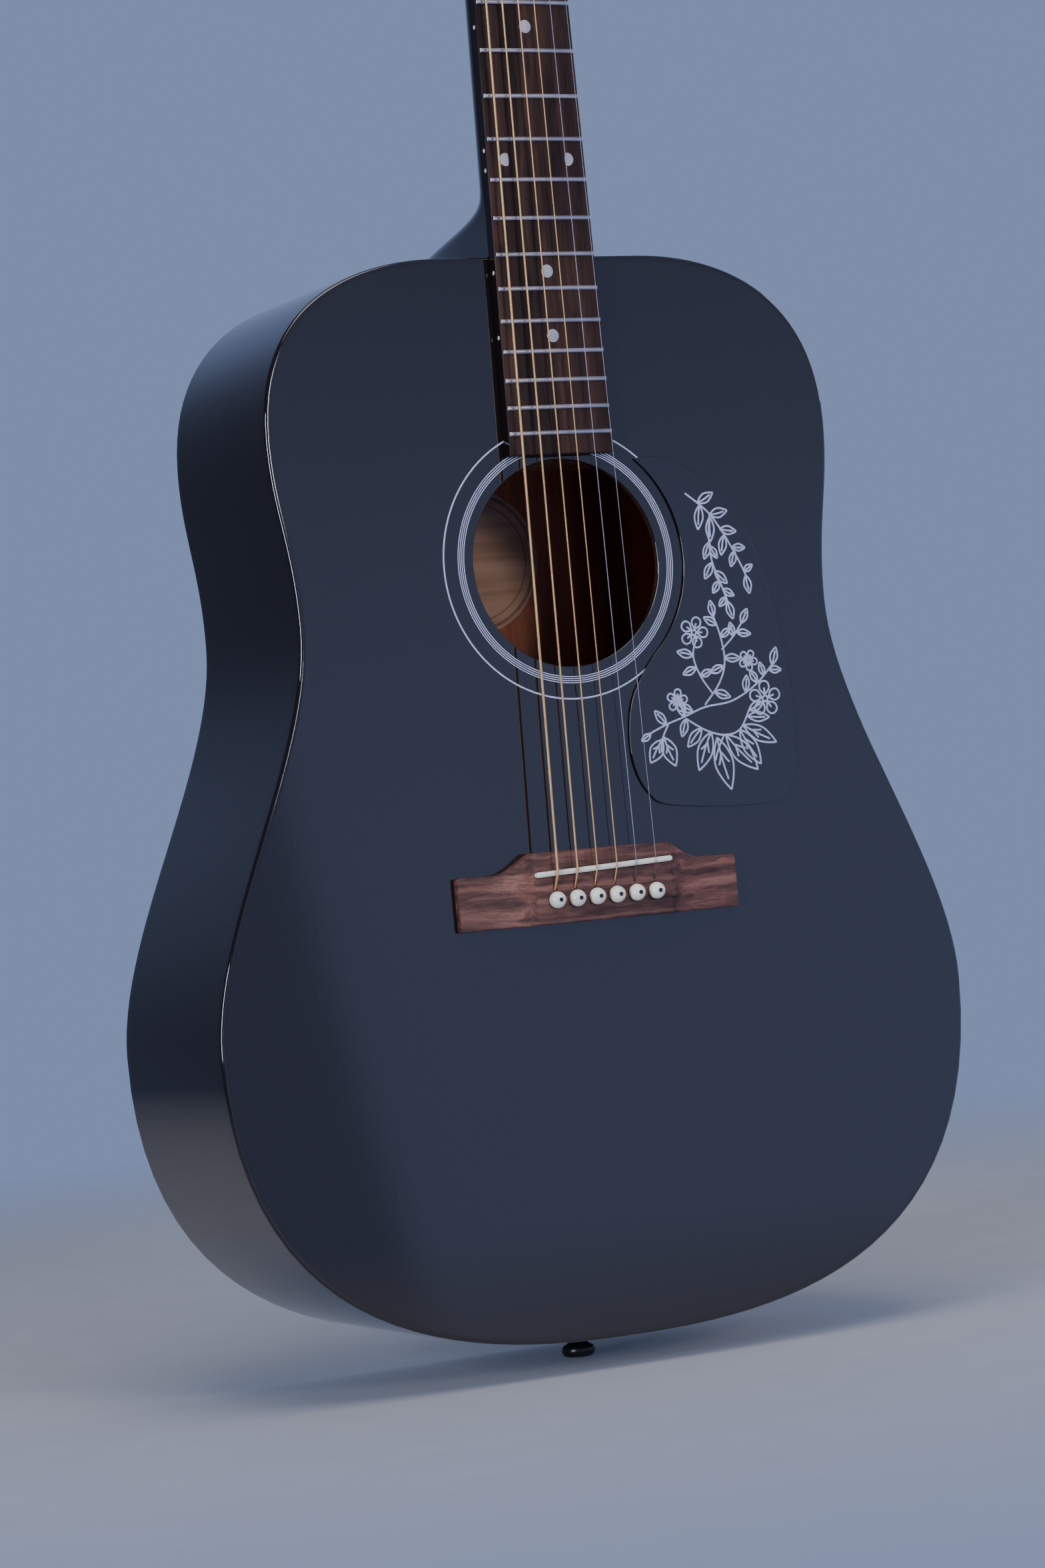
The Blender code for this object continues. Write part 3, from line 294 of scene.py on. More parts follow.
class Nodes:
    # shortcuts for a node tree
    def __init__(self, tree):
        self.tree = tree

    def node(self, kind, **settings):
        made = self.tree.nodes.new("ShaderNode" + kind)
        for name, value in settings.items():
            if name in made.inputs:
                made.inputs[name].default_value = value
            else:
                setattr(made, name, value)
        return made

    def link(self, start, end):
        self.tree.links.new(start, end)

    def feed(self, sockets, *values):
        # each socket takes a number, a colour or another node's output
        for socket, value in zip(sockets, values):
            if isinstance(value, tuple):
                socket.default_value = (*value, 1)
            elif isinstance(value, (int, float)):
                socket.default_value = value
            else:
                self.link(value, socket)

    def span(self, value, low, high, fromLow=0, fromHigh=1, how="LINEAR"):
        made = self.node("MapRange", interpolation_type=how)
        self.feed(made.inputs, value, fromLow, fromHigh, low, high)
        return made.outputs["Result"]

    def combine(self, how, first, second):
        made = self.node("Math", operation=how)
        self.feed(made.inputs, first, second)
        return made.outputs[0]


class Finish(Nodes):
    # a Principled material
    def __init__(self, name, **sockets):
        self.material = bpy.data.materials.new(name)
        self.material.use_nodes = True
        super().__init__(self.material.node_tree)
        self.shader = self.tree.nodes["Principled BSDF"]
        for socket, value in sockets.items():
            self.shader.inputs[socket.replace("_", " ")].default_value = value
        self.place = self.node("TexCoord").outputs["Object"]

    def mapped(self, scale=(1, 1, 1), location=(0, 0, 0), source=None):
        made = self.node("Mapping", Scale=scale, Location=location)
        self.link(source or self.place, made.inputs["Vector"])
        return made.outputs["Vector"]

    def noise(self, vector, scale, detail=4, rough=0.55, distortion=0):
        made = self.node("TexNoise", Scale=scale, Detail=detail, Roughness=rough, Distortion=distortion)
        self.link(vector, made.inputs["Vector"])
        return made.outputs["Fac"]

    def ramp(self, value, stops):
        made = self.node("ValToRGB")
        band = made.color_ramp
        for number, (position, colour) in enumerate(stops):
            stop = band.elements[number] if number < 2 else band.elements.new(position)
            stop.position = position
            stop.color = (*colour, 1)
        self.link(value, made.inputs["Fac"])
        return made.outputs["Color"]

    def mix(self, amount, first, second, how="MIX"):
        made = self.node("Mix", data_type="RGBA", blend_type=how)
        self.feed((made.inputs[0], made.inputs[6], made.inputs[7]), amount, first, second)
        return made.outputs[2]

    def bump(self, height, strength, distance, under=None):
        made = self.node("Bump", Strength=strength, Distance=distance)
        self.link(height, made.inputs["Height"])
        if under:
            self.link(under, made.inputs["Normal"])
        return made.outputs["Normal"]

    def to(self, socket, output):
        self.link(output, self.shader.inputs[socket])


def tinted(colour, share):
    return tuple(min(1, share * c) for c in colour)


lacquerLook = {"colour": (0.0095, 0.0060, 0.0064), "roughness": (0.04, 0.06), "coat": 0.5}


def lacquerFinish(name, look=lacquerLook):
    # sprayed gloss: faint haze, a trace of orange peel and of the grain beneath
    finish = Finish(name, Roughness=0.05, Coat_Weight=look["coat"], Coat_Roughness=0.02, IOR=1.5)
    haze = finish.noise(finish.mapped((1, 1, 0.6)), 9, 3)
    finish.to("Roughness", finish.span(haze, *look["roughness"], 0.3, 0.7))
    finish.to("Base Color", finish.ramp(haze, ((0.3, tinted(look["colour"], 0.9)), (0.7, look["colour"]))))
    peel = finish.bump(finish.noise(finish.place, 260, 2), 0.05, 0.0001)
    grain = finish.noise(finish.mapped((900, 900, 6)), 1, 2)
    finish.to("Normal", finish.bump(grain, 0.03, 0.00005, peel))
    return finish.material


def woodFinish(name, stops, along, roughness=(0.38, 0.55), figure=14, streak=7, pores=0.5, shine=0.4):
    # along is 0 for grain that runs in X, 2 for grain in Z
    finish = Finish(name, Roughness=0.45, Specular_IOR_Level=shine)
    long = [1, 1, 1]
    long[along] = 0.06
    bend = finish.noise(finish.mapped(tuple(0.6 + 0.4 * v for v in long)), figure * 2.2, 3)
    shifted = finish.node("VectorMath", operation="MULTIPLY_ADD")
    finish.link(bend, shifted.inputs[0])
    shifted.inputs[1].default_value = (0.006, 0.006, 0.006)
    finish.link(finish.place, shifted.inputs[2])
    stretched = finish.mapped(tuple(long), source=shifted.outputs[0])
    rings = finish.noise(stretched, figure * streak, 5, 0.6, 0.4)
    colour = finish.ramp(rings, stops)
    broad = finish.noise(stretched, figure * 1.7, 3, 0.5)
    shade = finish.ramp(broad, ((0.35, (0.62, 0.58, 0.6)), (0.65, (1.12, 1.06, 1.02))))
    colour = finish.mix(0.85, colour, shade, "MULTIPLY")
    fine = [2600, 2600, 2600]
    fine[along] = 60
    pore = finish.noise(finish.mapped(tuple(fine)), 1, 2, 0.5)
    mask = finish.ramp(pore, ((0.30, (0, 0, 0)), (0.42, (1, 1, 1))))
    colour = finish.mix(1, colour, finish.mix(mask, (1 - pores,) * 3, (1, 1, 1)), "MULTIPLY")
    finish.to("Base Color", colour)
    finish.to("Roughness", finish.span(rings, roughness[1], roughness[0], 0.35, 0.65))
    finish.to("Normal", finish.bump(pore, 0.35, 0.00012, finish.bump(rings, 0.12, 0.0002)))
    return finish.material


def plainFinish(name, colour, roughness=(0.3, 0.45), metallic=0.0, grain=350, tint=0.12, coat=0.0, bump=0.08):
    # small even variation of tone, gloss and surface
    finish = Finish(name, Metallic=metallic, Coat_Weight=coat, Coat_Roughness=0.08)
    mottle = finish.noise(finish.place, grain, 4)
    broad = finish.noise(finish.place, grain / 9, 3)
    deep = tinted(colour, 1 - tint)
    tone = finish.ramp(broad, ((0.3, deep), (0.7, tinted(colour, 1 + tint * 0.6))))
    finish.to("Base Color", finish.mix(finish.span(mottle, 0.0, 0.35), tone, deep))
    finish.to("Roughness", finish.span(broad, *roughness, 0.3, 0.7))
    finish.to("Normal", finish.bump(mottle, bump, 0.0001))
    return finish.material


def woundFinish(name, colour, pitch):
    # fine wrap wire round a core: ridges square to the string, which runs along Z; the grooves between ridges
    # get painted shade in the base colour
    finish = Finish(name, Metallic=1.0, Roughness=0.3)
    wave = finish.node("TexWave", bands_direction="Z", Scale=2 * pi / pitch / 20)
    finish.link(finish.place, wave.inputs["Vector"])
    ridge = wave.outputs["Fac"]
    # painted shade: a darker copy of the colour, laid into the grooves between wraps
    deep = tinted(colour, 0.55)
    tarnish = finish.noise(finish.place, 40, 3)
    tone = finish.ramp(tarnish, ((0.35, tinted(colour, 0.86)), (0.65, colour)))
    finish.to("Base Color", finish.mix(finish.span(ridge, 0.45, 0.0), tone, deep))
    finish.to("Roughness", finish.span(tarnish, 0.28, 0.42, 0.3, 0.7))
    finish.to("Normal", finish.bump(ridge, 0.5, 0.00012))
    return finish.material


def labelFinish(name, centre, radius):
    # a paper disc: warm stock, a printed border ring and soft foxing
    finish = Finish(name, Roughness=0.8)
    away = finish.node("VectorMath", operation="DISTANCE")
    flat = finish.mapped((1, 0, 1))
    finish.link(flat, away.inputs[0])
    away.inputs[1].default_value = (centre[0], 0, centre[2])
    share = finish.span(away.outputs["Value"], 0, 1, 0, radius)
    stock = (0.52, 0.31, 0.21)
    ink = (0.30, 0.17, 0.11)
    rings = finish.ramp(share, ((0.0, stock), (0.800, stock), (0.808, ink), (0.822, ink), (0.83, stock),
                                (0.91, stock), (0.918, ink), (0.955, ink), (0.963, stock)))
    streaks = finish.noise(finish.mapped((12, 12, 160)), 1, 4)
    foxing = finish.ramp(streaks, ((0.35, (0.62, 0.55, 0.5)), (0.6, (1.0, 1.0, 1.0))))
    finish.to("Base Color", finish.mix(0.8, rings, foxing, "MULTIPLY"))
    finish.to("Roughness", finish.span(streaks, 0.7, 0.9))
    finish.to("Normal", finish.bump(finish.noise(finish.place, 900, 2), 0.15, 0.0001))
    return finish.material


lacquer = lacquerFinish("blackLacquer")
rosewoodAcross = woodFinish(
    "rosewoodAcross", ((0.30, (0.030, 0.017, 0.016)), (0.44, (0.085, 0.037, 0.030)),
                       (0.54, (0.150, 0.064, 0.049)), (0.68, (0.260, 0.120, 0.090))),
    0, figure=30, streak=8, shine=0.25)
rosewoodAlong = woodFinish(
    "rosewoodAlong", ((0.30, (0.010, 0.006, 0.006)), (0.46, (0.024, 0.012, 0.011)),
                      (0.56, (0.038, 0.018, 0.014)), (0.72, (0.075, 0.033, 0.022))),
    2, (0.42, 0.6), figure=24, streak=6, shine=0.12)
mahogany = woodFinish(
    "mahoganyInside", ((0.30, (0.20, 0.060, 0.028)), (0.5, (0.33, 0.110, 0.052)), (0.7, (0.44, 0.165, 0.08))),
    2, (0.6, 0.75), figure=10)
spruce = woodFinish(
    "spruceInside", ((0.32, (0.34, 0.20, 0.10)), (0.5, (0.50, 0.32, 0.17)), (0.7, (0.60, 0.42, 0.24))),
    2, (0.6, 0.75), figure=16, pores=0.15)
bone = plainFinish("ivoryBone", (0.83, 0.78, 0.66), (0.22, 0.36), grain=420, tint=0.07, coat=0.2)
pearl = plainFinish("pearlInlay", (0.40, 0.37, 0.43), (0.18, 0.30), grain=700, tint=0.25, coat=0.3)
inlayWhite = plainFinish("paleInlay", (0.52, 0.51, 0.68), (0.3, 0.42), grain=800, tint=0.08)
paintWhite = plainFinish("palePaint", (0.44, 0.45, 0.63), (0.4, 0.55), grain=1500, tint=0.18)
inkBlack = plainFinish("ebonyBlack", (0.006, 0.006, 0.007), (0.2, 0.35), grain=900, tint=0.3)
guardBlack = lacquerFinish("guardBlack", {"colour": (0.0105, 0.0070, 0.0080), "roughness": (0.045, 0.085),
                                          "coat": 0.5})
plasticBlack = plainFinish("plasticBlack", (0.012, 0.012, 0.013), (0.22, 0.36), grain=500, tint=0.25)
nickel = plainFinish("nickelPlate", (0.70, 0.68, 0.65), (0.14, 0.26), 1.0, grain=260, tint=0.06, bump=0.03)
fretWire = plainFinish("fretNickel", (0.41, 0.37, 0.40), (0.30, 0.44), 1.0, grain=600, tint=0.1)
steel = plainFinish("toolSteel", (0.42, 0.42, 0.43), (0.3, 0.5), 1.0, grain=300, tint=0.15)
plainString = plainFinish("plainSteelString", (0.24, 0.22, 0.27), (0.34, 0.44), 1.0, grain=300, tint=0.06)
brass = plainFinish("brassBall", (0.70, 0.50, 0.22), (0.25, 0.4), 1.0, grain=500, tint=0.1)
print("materials ready")


cameraLook = {"place": (-0.9122, -1.7864, 0.2425), "direction": (0.455, 0.8903, 0.016), "roll": -5.2,
              "lens": 94.9, "shift": (-0.0041, 0.0044)}
roomLook = {"air": (0.205, 0.270, 0.480), "front": 2.3, "upper": 1.2, "dim": 0.16, "patch": 0.58,
            "floor": (0.50, 0.48, 0.46), "floorRadius": 3.2}
# name: place, aim, size, power, colour
lightLook = {"sideSoftbox": ((-2.3, -1.25, 0.55), (0, 0, 0.35), (0.45, 1.1), 55, (0.72, 0.80, 1)),
             "overheadSoftbox": ((-0.3, -0.9, 2.3), (0, 0, 0.3), (1.5, 1.5), 26, (1, 0.97, 0.93)),
             "frontSoftbox": ((0.34, -2.2, 0.72), (0, 0, 0.36), (0.36, 0.36), 13, (1, 0.95, 0.90)),
             "rightSoftbox": ((2.6, 0.2, 1.4), (0, 0, 0.4), (1.2, 1.2), 10, (0.95, 0.97, 1))}


def makeAir():
    # soft studio air: dimmer past the bass side, brighter in front, with one unlit corner low in front
    world = bpy.data.worlds.new("studioAir")
    bpy.context.scene.world = world
    world.use_nodes = True
    air = Nodes(world.node_tree)
    split = air.node("SeparateXYZ")
    air.link(air.node("TexCoord").outputs["Generated"], split.inputs[0])
    across, forward, up = split.outputs

    def between(value, fromLow, fromHigh, low, high):
        return air.span(value, low, high, fromLow, fromHigh, "SMOOTHSTEP")

    def product(first, *others):
        for other in others:
            first = air.combine("MULTIPLY", first, other)
        return first

    side = between(across, -0.52, 0.05, roomLook["dim"], 1)
    height = between(up, 0, 0.22, roomLook["front"], roomLook["upper"])
    front = product(between(forward, 0.2, -0.5, 0, 1), air.combine("SUBTRACT", height, 1))
    lean = air.combine("ADD", across, product(up, 0.16))
    patch = product(between(lean, 0.398, 0.411, 1, 0), between(up, 0.10, 0.04, 0, 1),
                    between(forward, 0, -0.4, 0, 1), between(across, 0, 0.2, 0, 1))
    shade = air.combine("SUBTRACT", 1, product(patch, 1 - roomLook["patch"]))
    background = air.tree.nodes["Background"]
    air.feed(background.inputs, roomLook["air"], product(side, air.combine("ADD", front, 1), shade))


def standAt(obj, place, direction, roll=0):
    # a lamp or the camera, facing along the direction
    bpy.context.scene.collection.objects.link(obj)
    turn = Vector(direction).to_track_quat("-Z", "Y") @ Quaternion((0, 0, 1), radians(roll))
    obj.matrix_world = Matrix.LocRotScale(Vector(place), turn, None)


def makeStage():
    eye = bpy.data.cameras.new("camera")
    eye.lens = cameraLook["lens"]
    eye.sensor_width = 36
    eye.shift_x, eye.shift_y = cameraLook["shift"]
    camera = bpy.data.objects.new("camera", eye)
    standAt(camera, cameraLook["place"], cameraLook["direction"], cameraLook["roll"])
    bpy.context.scene.camera = camera

    for name, (place, aim, size, power, colour) in lightLook.items():
        lamp = bpy.data.lights.new(name, "AREA")
        lamp.shape = "RECTANGLE"
        lamp.size, lamp.size_y = size
        lamp.energy = power
        lamp.color = colour
        standAt(bpy.data.objects.new(name, lamp), place, Vector(aim) - Vector(place))

    makeAir()
    deselect()
    bpy.ops.mesh.primitive_circle_add(vertices=96, radius=roomLook["floorRadius"], fill_type="NGON",
                                      location=(0, 0, -0.0005))
    floor = bpy.context.object
    floor.name = "floor"
    finish = Finish("paleFloor", Roughness=0.6)
    grain = finish.noise(finish.place, 30)
    tone = roomLook["floor"]
    finish.to("Base Color", finish.ramp(grain, ((0.3, tinted(tone, 0.94)), (0.7, tone))))
    away = finish.node("VectorMath", operation="LENGTH")
    finish.link(finish.mapped(location=(-0.1, -0.5, 0)), away.inputs[0])
    finish.to("Alpha", finish.span(away.outputs["Value"], 1, 0, 0.4, 1.3))
    floor.data.materials.append(finish.material)


makeStage()
print("camera, lights and floor ready")


bodyLook = {"flat": 0.053, "upper": (0.149, 0.0826), "waist": (0.1405, 0.1696), "lower": (0.1978, 0.360),
            "long": 0.511, "depthNeck": 0.106, "depthTail": 0.124, "archAlong": 0.004, "archAcross": 0.0043,
            "topThick": 0.0028, "backThick": 0.0026, "sideThick": 0.0023, "binding": 0.0027,
            "bindingDeep": 0.0065, "bindingGap": 0.00004, "round": 0.0016, "holeRound": 0.0006,
            "buttonHole": 0.0048, "steps": 26}


def bodyOutline():
    look = bodyLook
    (ux, ud), (wx, wd), (lx, ld) = look["upper"], look["waist"], look["lower"]
    flat, long = look["flat"], look["long"]
    rise, fall = wd - ud, ld - wd
    knots = (((0, 0), (0, 0), (flat / 3, 0)),
             ((flat, 0), (-flat / 3, 0), (0.43 * (ux - flat), 0)),
             ((ux, -ud), (0, 0.805 * ud), (0, -0.377 * rise)),
             ((wx, -wd), (0, 0.444 * rise), (0, -0.30 * fall)),
             ((lx, -ld), (0, 0.303 * fall), (0, -0.969 * (long - ld))),
             ((0, -long), (0.334 * lx, 0), (0, 0)))
    half = []
    for (start, _, leave), (end, arrive, _) in zip(knots, knots[1:]):
        start, end = Vector(start), Vector(end)
        curve = interpolate_bezier(start, start + Vector(leave), end + Vector(arrive), end, look["steps"] + 1)
        half += curve[:-1]
    half.append(Vector((0, -long)))
    half = [(p.x, jointZ + p.y) for p in half]
    return half + [(-x, z) for x, z in reversed(half[1:-1])]


outline = bodyOutline()


def backY(x, z):
    down = (jointZ - z) / bodyLook["long"]
    depth = bodyLook["depthNeck"] + (bodyLook["depthTail"] - bodyLook["depthNeck"]) * down
    along = bodyLook["archAlong"] * 4 * down * (1 - down)
    return faceY + depth + along - bodyLook["archAcross"] * (x / bodyLook["lower"][0]) ** 2


def shellRing(distance, depth, fromBack=False):
    # the outline moved in, at a depth from the face or from the back
    ring = insetLoop(outline, distance) if distance else outline
    return [(x, backY(x, z) - depth if fromBack else faceY + depth, z) for x, z in ring]


def makeSoundboard():
    look = bodyLook
    edge = look["binding"] + look["bindingGap"]
    top = extrudeRings("soundboard", [shellRing(edge, 0), shellRing(edge, look["topThick"])])
    holes = [rod("hole", holeR, (0, faceY - 0.01, holeZ), (0, faceY + 0.02, holeZ), 144)]
    holes += [rod("hole", pinHoleR, (x, faceY - 0.01, pinZ), (x, faceY + 0.02, pinZ), 24) for x in pinXs]
    cut(top, *holes)

    def onRim(vert):
        away = sqrt(vert.co.x ** 2 + (vert.co.z - holeZ) ** 2)
        return abs(vert.co.y - faceY) < 1e-5 and abs(away - holeR) < 0.0002

    editWhole(top)
    pick(top, lambda edge: all(onRim(vert) for vert in edge.verts), "EDGE")
    bpy.ops.mesh.bevel(offset=look["holeRound"], segments=3, affect="EDGES")
    leaveEdit()
    paint(top, 1, lambda centre, normal: normal.y > 0.5)
    finishPiece(top, "black_lacquer", [lacquer, spruce], "top")


def makeBinding(name, fromBack):
    look = bodyLook
    r, wide, deep = look["round"], look["binding"], look["bindingDeep"]
    inner = look["backThick"] if fromBack else look["topThick"]
    stations = [(0, deep), (0, r)]
    for step in range(1, 6):
        angle = pi / 2 * step / 6
        stations.append((r - r * cos(angle), r - r * sin(angle)))
    stations += [(r, 0), (wide, 0), (wide, inner), (wide, deep)]
    finishPiece(extrudeRings(name, [shellRing(d, y, fromBack) for d, y in stations], closed=True),
                "black_lacquer", lacquer, smooth=50)


def makeSides():
    look = bodyLook
    deep, thick = look["bindingDeep"] + look["bindingGap"], look["sideThick"]
    corners = ((0, False), (0, True), (thick, True), (thick, False))
    rings = [shellRing(distance, deep, fromBack) for distance, fromBack in corners]
    middle = jointZ - look["waist"][1]

    def facesInwards(centre, normal):
        return normal.x * centre.x + normal.z * (centre.z - middle) < -0.02 and abs(normal.y) < 0.5

    for name, sign in (("sideBass", -1), ("sideTreble", 1)):
        side = extrudeRings(name, rings, closed=True)
        editWhole(side)
        bpy.ops.mesh.bisect(plane_co=(sign * 0.00003, 0, 0), plane_no=(-sign, 0, 0), use_fill=True,
                            clear_outer=True)
        leaveEdit()
        cut(side, rod("hole", look["buttonHole"], (0, 0, tailZ - 0.01), (0, 0, tailZ + 0.01), 32))
        paint(side, 1, facesInwards)
        finishPiece(side, "black_lacquer", [lacquer, mahogany], "side_bass" if sign < 0 else "side_treble")


def makeBack():
    look = bodyLook
    centre = Vector((0, jointZ - look["waist"][1] - 0.02))
    edge = insetLoop(outline, look["binding"] + look["bindingGap"])
    shares = (0.012, 0.06, 0.14, 0.24, 0.35, 0.47, 0.6, 0.73, 0.86, 0.95, 1.0)

    def ring(share, depth):
        points = [centre + share * (Vector(p) - centre) for p in edge]
        return [(p.x, backY(p.x, p.y) - depth, p.y) for p in points]

    rings = [ring(share, 0) for share in shares]
    rings += [ring(share, look["backThick"]) for share in reversed(shares)]
    back = extrudeRings("backPlate", rings)
    paint(back, 1, lambda centre, normal: normal.y < -0.5)
    finishPiece(back, "black_lacquer", [lacquer, mahogany], "back")


makeSoundboard()
makeBinding("bindingFront", False)
makeBinding("bindingBack", True)
makeSides()
makeBack()
print("body shell ready")


ringLook = {"inner": 0.0539, "lines": 4, "line": 0.00042, "space": 0.00056, "outer": 0.0642,
            "outerLine": 0.00075, "proud": 0.00003, "deep": 0.0012, "steps": 180}
labelLook = {"middle": (0.006, 0, 0.391), "radius": 0.036, "thick": 0.0003}


def flatRing(name, inner, wide):
    look = ringLook
    rings = []
    front, back = faceY - look["proud"], faceY + look["deep"]
    for radius, y in ((inner, back), (inner, front), (inner + wide, front), (inner + wide, back)):
        angles = [2 * pi * i / look["steps"] for i in range(look["steps"])]
        rings.append([(radius * cos(a), y, holeZ + radius * sin(a)) for a in angles])
    finishPiece(extrudeRings(name, rings, closed=True), "bone", inlayWhite)


def makeRosette():
    look = ringLook
    for number in range(look["lines"]):
        radius = look["inner"] + number * (look["line"] + look["space"])
        flatRing(f"rosetteLine_{number + 1}", radius, look["line"])
    flatRing("rosetteOuterLine", look["outer"], look["outerLine"])


def makeLabel():
    look = labelLook
    x0, _, z0 = look["middle"]
    inside = bodyLook["backThick"] + seam
    rings = []
    stations = [(share, look["thick"]) for share in (0.01, 0.3, 0.6, 0.85, 1)]
    stations += [(share, 0) for share in (1, 0.85, 0.6, 0.3, 0.01)]
    for share, lift in stations:
        radius = look["radius"] * share
        around = [(x0 + radius * cos(2 * pi * i / 72), z0 + radius * sin(2 * pi * i / 72)) for i in range(72)]
        rings.append([(x, backY(x, z) - inside - lift, z) for x, z in around])
    paper = labelFinish("labelPaper", look["middle"], look["radius"])
    finishPiece(extrudeRings("soundholeLabel", rings), "bone", paper)


def dressInside():
    # the solids that only show through the soundhole keep their shape and get real wood
    woods = {"brace": spruce, "tone_bar": spruce, "lining": mahogany, "block": mahogany,
             "bridge_plate": rosewoodAcross, "truss_rod": steel}
    for name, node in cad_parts.items():
        wood = next((wood for word, wood in woods.items() if word in name), None)
        if wood and name != "truss_rod_cover":
            node.data.materials.clear()
            node.data.materials.append(wood)


makeRosette()
makeLabel()
dressInside()
print("rosette, label and inside ready")


neckLook = {"nutHalf": 0.0218, "spread": 0.0131, "depthNut": 0.0145, "depthBody": 0.0175, "heelReach": 0.045,
            "heelFlat": 0.012, "heelSweep": 5, "heelTip": 0.016, "fullness": (0.88, 0.42), "capThick": 0.0023,
            "capLong": 0.0125, "nutThick": 0.006, "headAngle": 14, "headDrop": 0.0004, "headThick": 0.015,
            "tunerHole": 0.0049, "channel": 0.0033, "pocket": 0.006, "round": 40}
headEdge = ((0.0218, 0.0005), (0.0246, 0.012), (0.0308, 0.026), (0.0334, 0.042), (0.0352, 0.085),
            (0.0372, 0.135), (0.0384, 0.170), (0.0360, 0.1805), (0.0200, 0.1846), (0.0, 0.186))
boardLook = {"radius": 0.45, "corner": 0.0005, "endDrop": 0.0004, "dot": 0.0031, "sideDot": 0.0010,
             "twin": 0.0165, "sideTwin": 0.0047, "sideLow": 0.0036, "dotFrets": (3, 5, 7, 9, 12, 15, 17),
             "frets": 20, "fretWide": 0.0023, "fretTall": 0.0011, "fretInset": 0.0003, "fretDeep": 0.0004}
nutLook = {"round": 0.0011, "spare": 0.00008}
tunerUp, tunerInset = (0.040, 0.082, 0.124), 0.0113
headFrame = Matrix.LocRotScale(Vector((0, faceY + neckLook["headDrop"], nutZ + neckLook["nutThick"])),
                               Quaternion((1, 0, 0), -radians(neckLook["headAngle"])), None)


def boardHalf(z):
    return neckLook["nutHalf"] + neckLook["spread"] * (nutZ - z)


def fretZ(number):
    return nutZ - scaleLength * (1 - 2 ** (-number / 12))


def headHalf(up):
    edge = smoothLine(headEdge, 3)
    for a, b in zip(edge, edge[1:]):
        if a.y <= up <= b.y and b.y > a.y:
            return a.x + (b.x - a.x) * (up - a.y) / (b.y - a.y)
    return 0.0


def tunerPlace(number):
    # side and height of a string's tuner on the headstock
    side, up = (-1, tunerUp[number]) if number < 3 else (1, tunerUp[5 - number])
    return side, up, side * (headHalf(up) - tunerInset)


def neckSection(z, flatY, half, depth, heel):
    light, full = neckLook["fullness"]
    fullness = light + (full - light) * heel
    narrowing = (1 - neckLook["heelTip"] / half) * heel
    steps = neckLook["round"]
    section = []
    for i in range(steps + 1):
        angle = pi * i / steps
        across = abs(cos(angle)) ** fullness * (1 if cos(angle) > 0 else -1)
        deep = max(sin(angle), 0) ** fullness
        section.append((half * across * (1 - narrowing * deep), flatY + depth * deep, z))
    return section


def makeNeck():
    look = neckLook
    heelDepth = bodyLook["depthNeck"] - look["capThick"] - seam
    run = nutZ - jointZ
    stations = [seam, 0.004, 0.008] + [0.012 + 0.001 * i for i in range(36)]
    stations += [0.052, 0.06, 0.07, 0.09, 0.12, 0.16, 0.2, 0.24, 0.28, 0.32, run]
    sections = []
    for up in stations:
        share = min(max((up - look["heelFlat"]) / (look["heelReach"] - look["heelFlat"]), 0), 1)
        heel = (0.5 + 0.5 * cos(pi * share)) ** look["heelSweep"]
        depth = look["depthBody"] + (look["depthNut"] - look["depthBody"]) * up / run
        depth += (heelDepth - depth) * heel
        sections.append(neckSection(jointZ + up, faceY, boardHalf(jointZ + up), depth, heel))
    half, end = boardHalf(nutZ), nutZ + look["nutThick"]
    sections.append(neckSection(end, faceY, half, look["depthNut"], 0))
    lean = tan(radians(look["headAngle"]))
    for share in (1 / 3, 2 / 3, 1):
        up = 0.012 * share
        sections.append(neckSection(end + up, faceY + up * lean + 0.0015 * share, half - 0.002 * share,
                                    look["depthNut"] - 0.0025 * share, 0))
    neck = extrudeRings("neckShaft", sections)

    edge = [tuple(p) for p in smoothLine(headEdge, 8)]
    loop = edge + [(-x, z) for x, z in reversed(edge[:-1])]
    head = extrudeRings("headstock", plate(loop, 0, look["headThick"]))
    soften(head, 0.0009, 3, 50)
    head.data.transform(headFrame)
    holes = []
    for number in range(6):
        _, up, x = tunerPlace(number)
        start, stop = headFrame @ Vector((x, -0.01, up)), headFrame @ Vector((x, 0.03, up))
        holes.append(rod("hole", look["tunerHole"], start, stop, 40))
    cut(head, *holes)
    cut(neck, head, how="UNION")
    # the truss rod's channel and the pocket for its nut
    for wide, low, high in ((look["channel"], jointZ + 0.0097, nutZ + 0.0095),
                            (look["pocket"], nutZ + 0.0075, nutZ + 0.0285)):
        cut(neck, block("channel", (-wide, faceY - 0.01, low), (wide, faceY + 0.0101, high)))
    finishPiece(neck, "black_lacquer", lacquer, "neck", smooth=32)

    tip = []
    for i in range(25):
        angle = pi / 2 * (1 - i / 24)
        tip.append((look["heelTip"] * cos(angle), jointZ + seam + look["capLong"] * sin(angle)))
    loop = tip + [(-x, z) for x, z in reversed(tip[1:])]
    front = faceY + heelDepth + seam
    cap = extrudeRings("heelCap", plate(loop, front, front + look["capThick"]))
    soften(cap, 0.0005, 3, 50)
    finishPiece(cap, "black_plastic", plasticBlack, "heel_cap")


def boardY(x):
    # the playing face is part of a wide cylinder
    return boardTop + boardLook["radius"] - sqrt(boardLook["radius"] ** 2 - x * x)


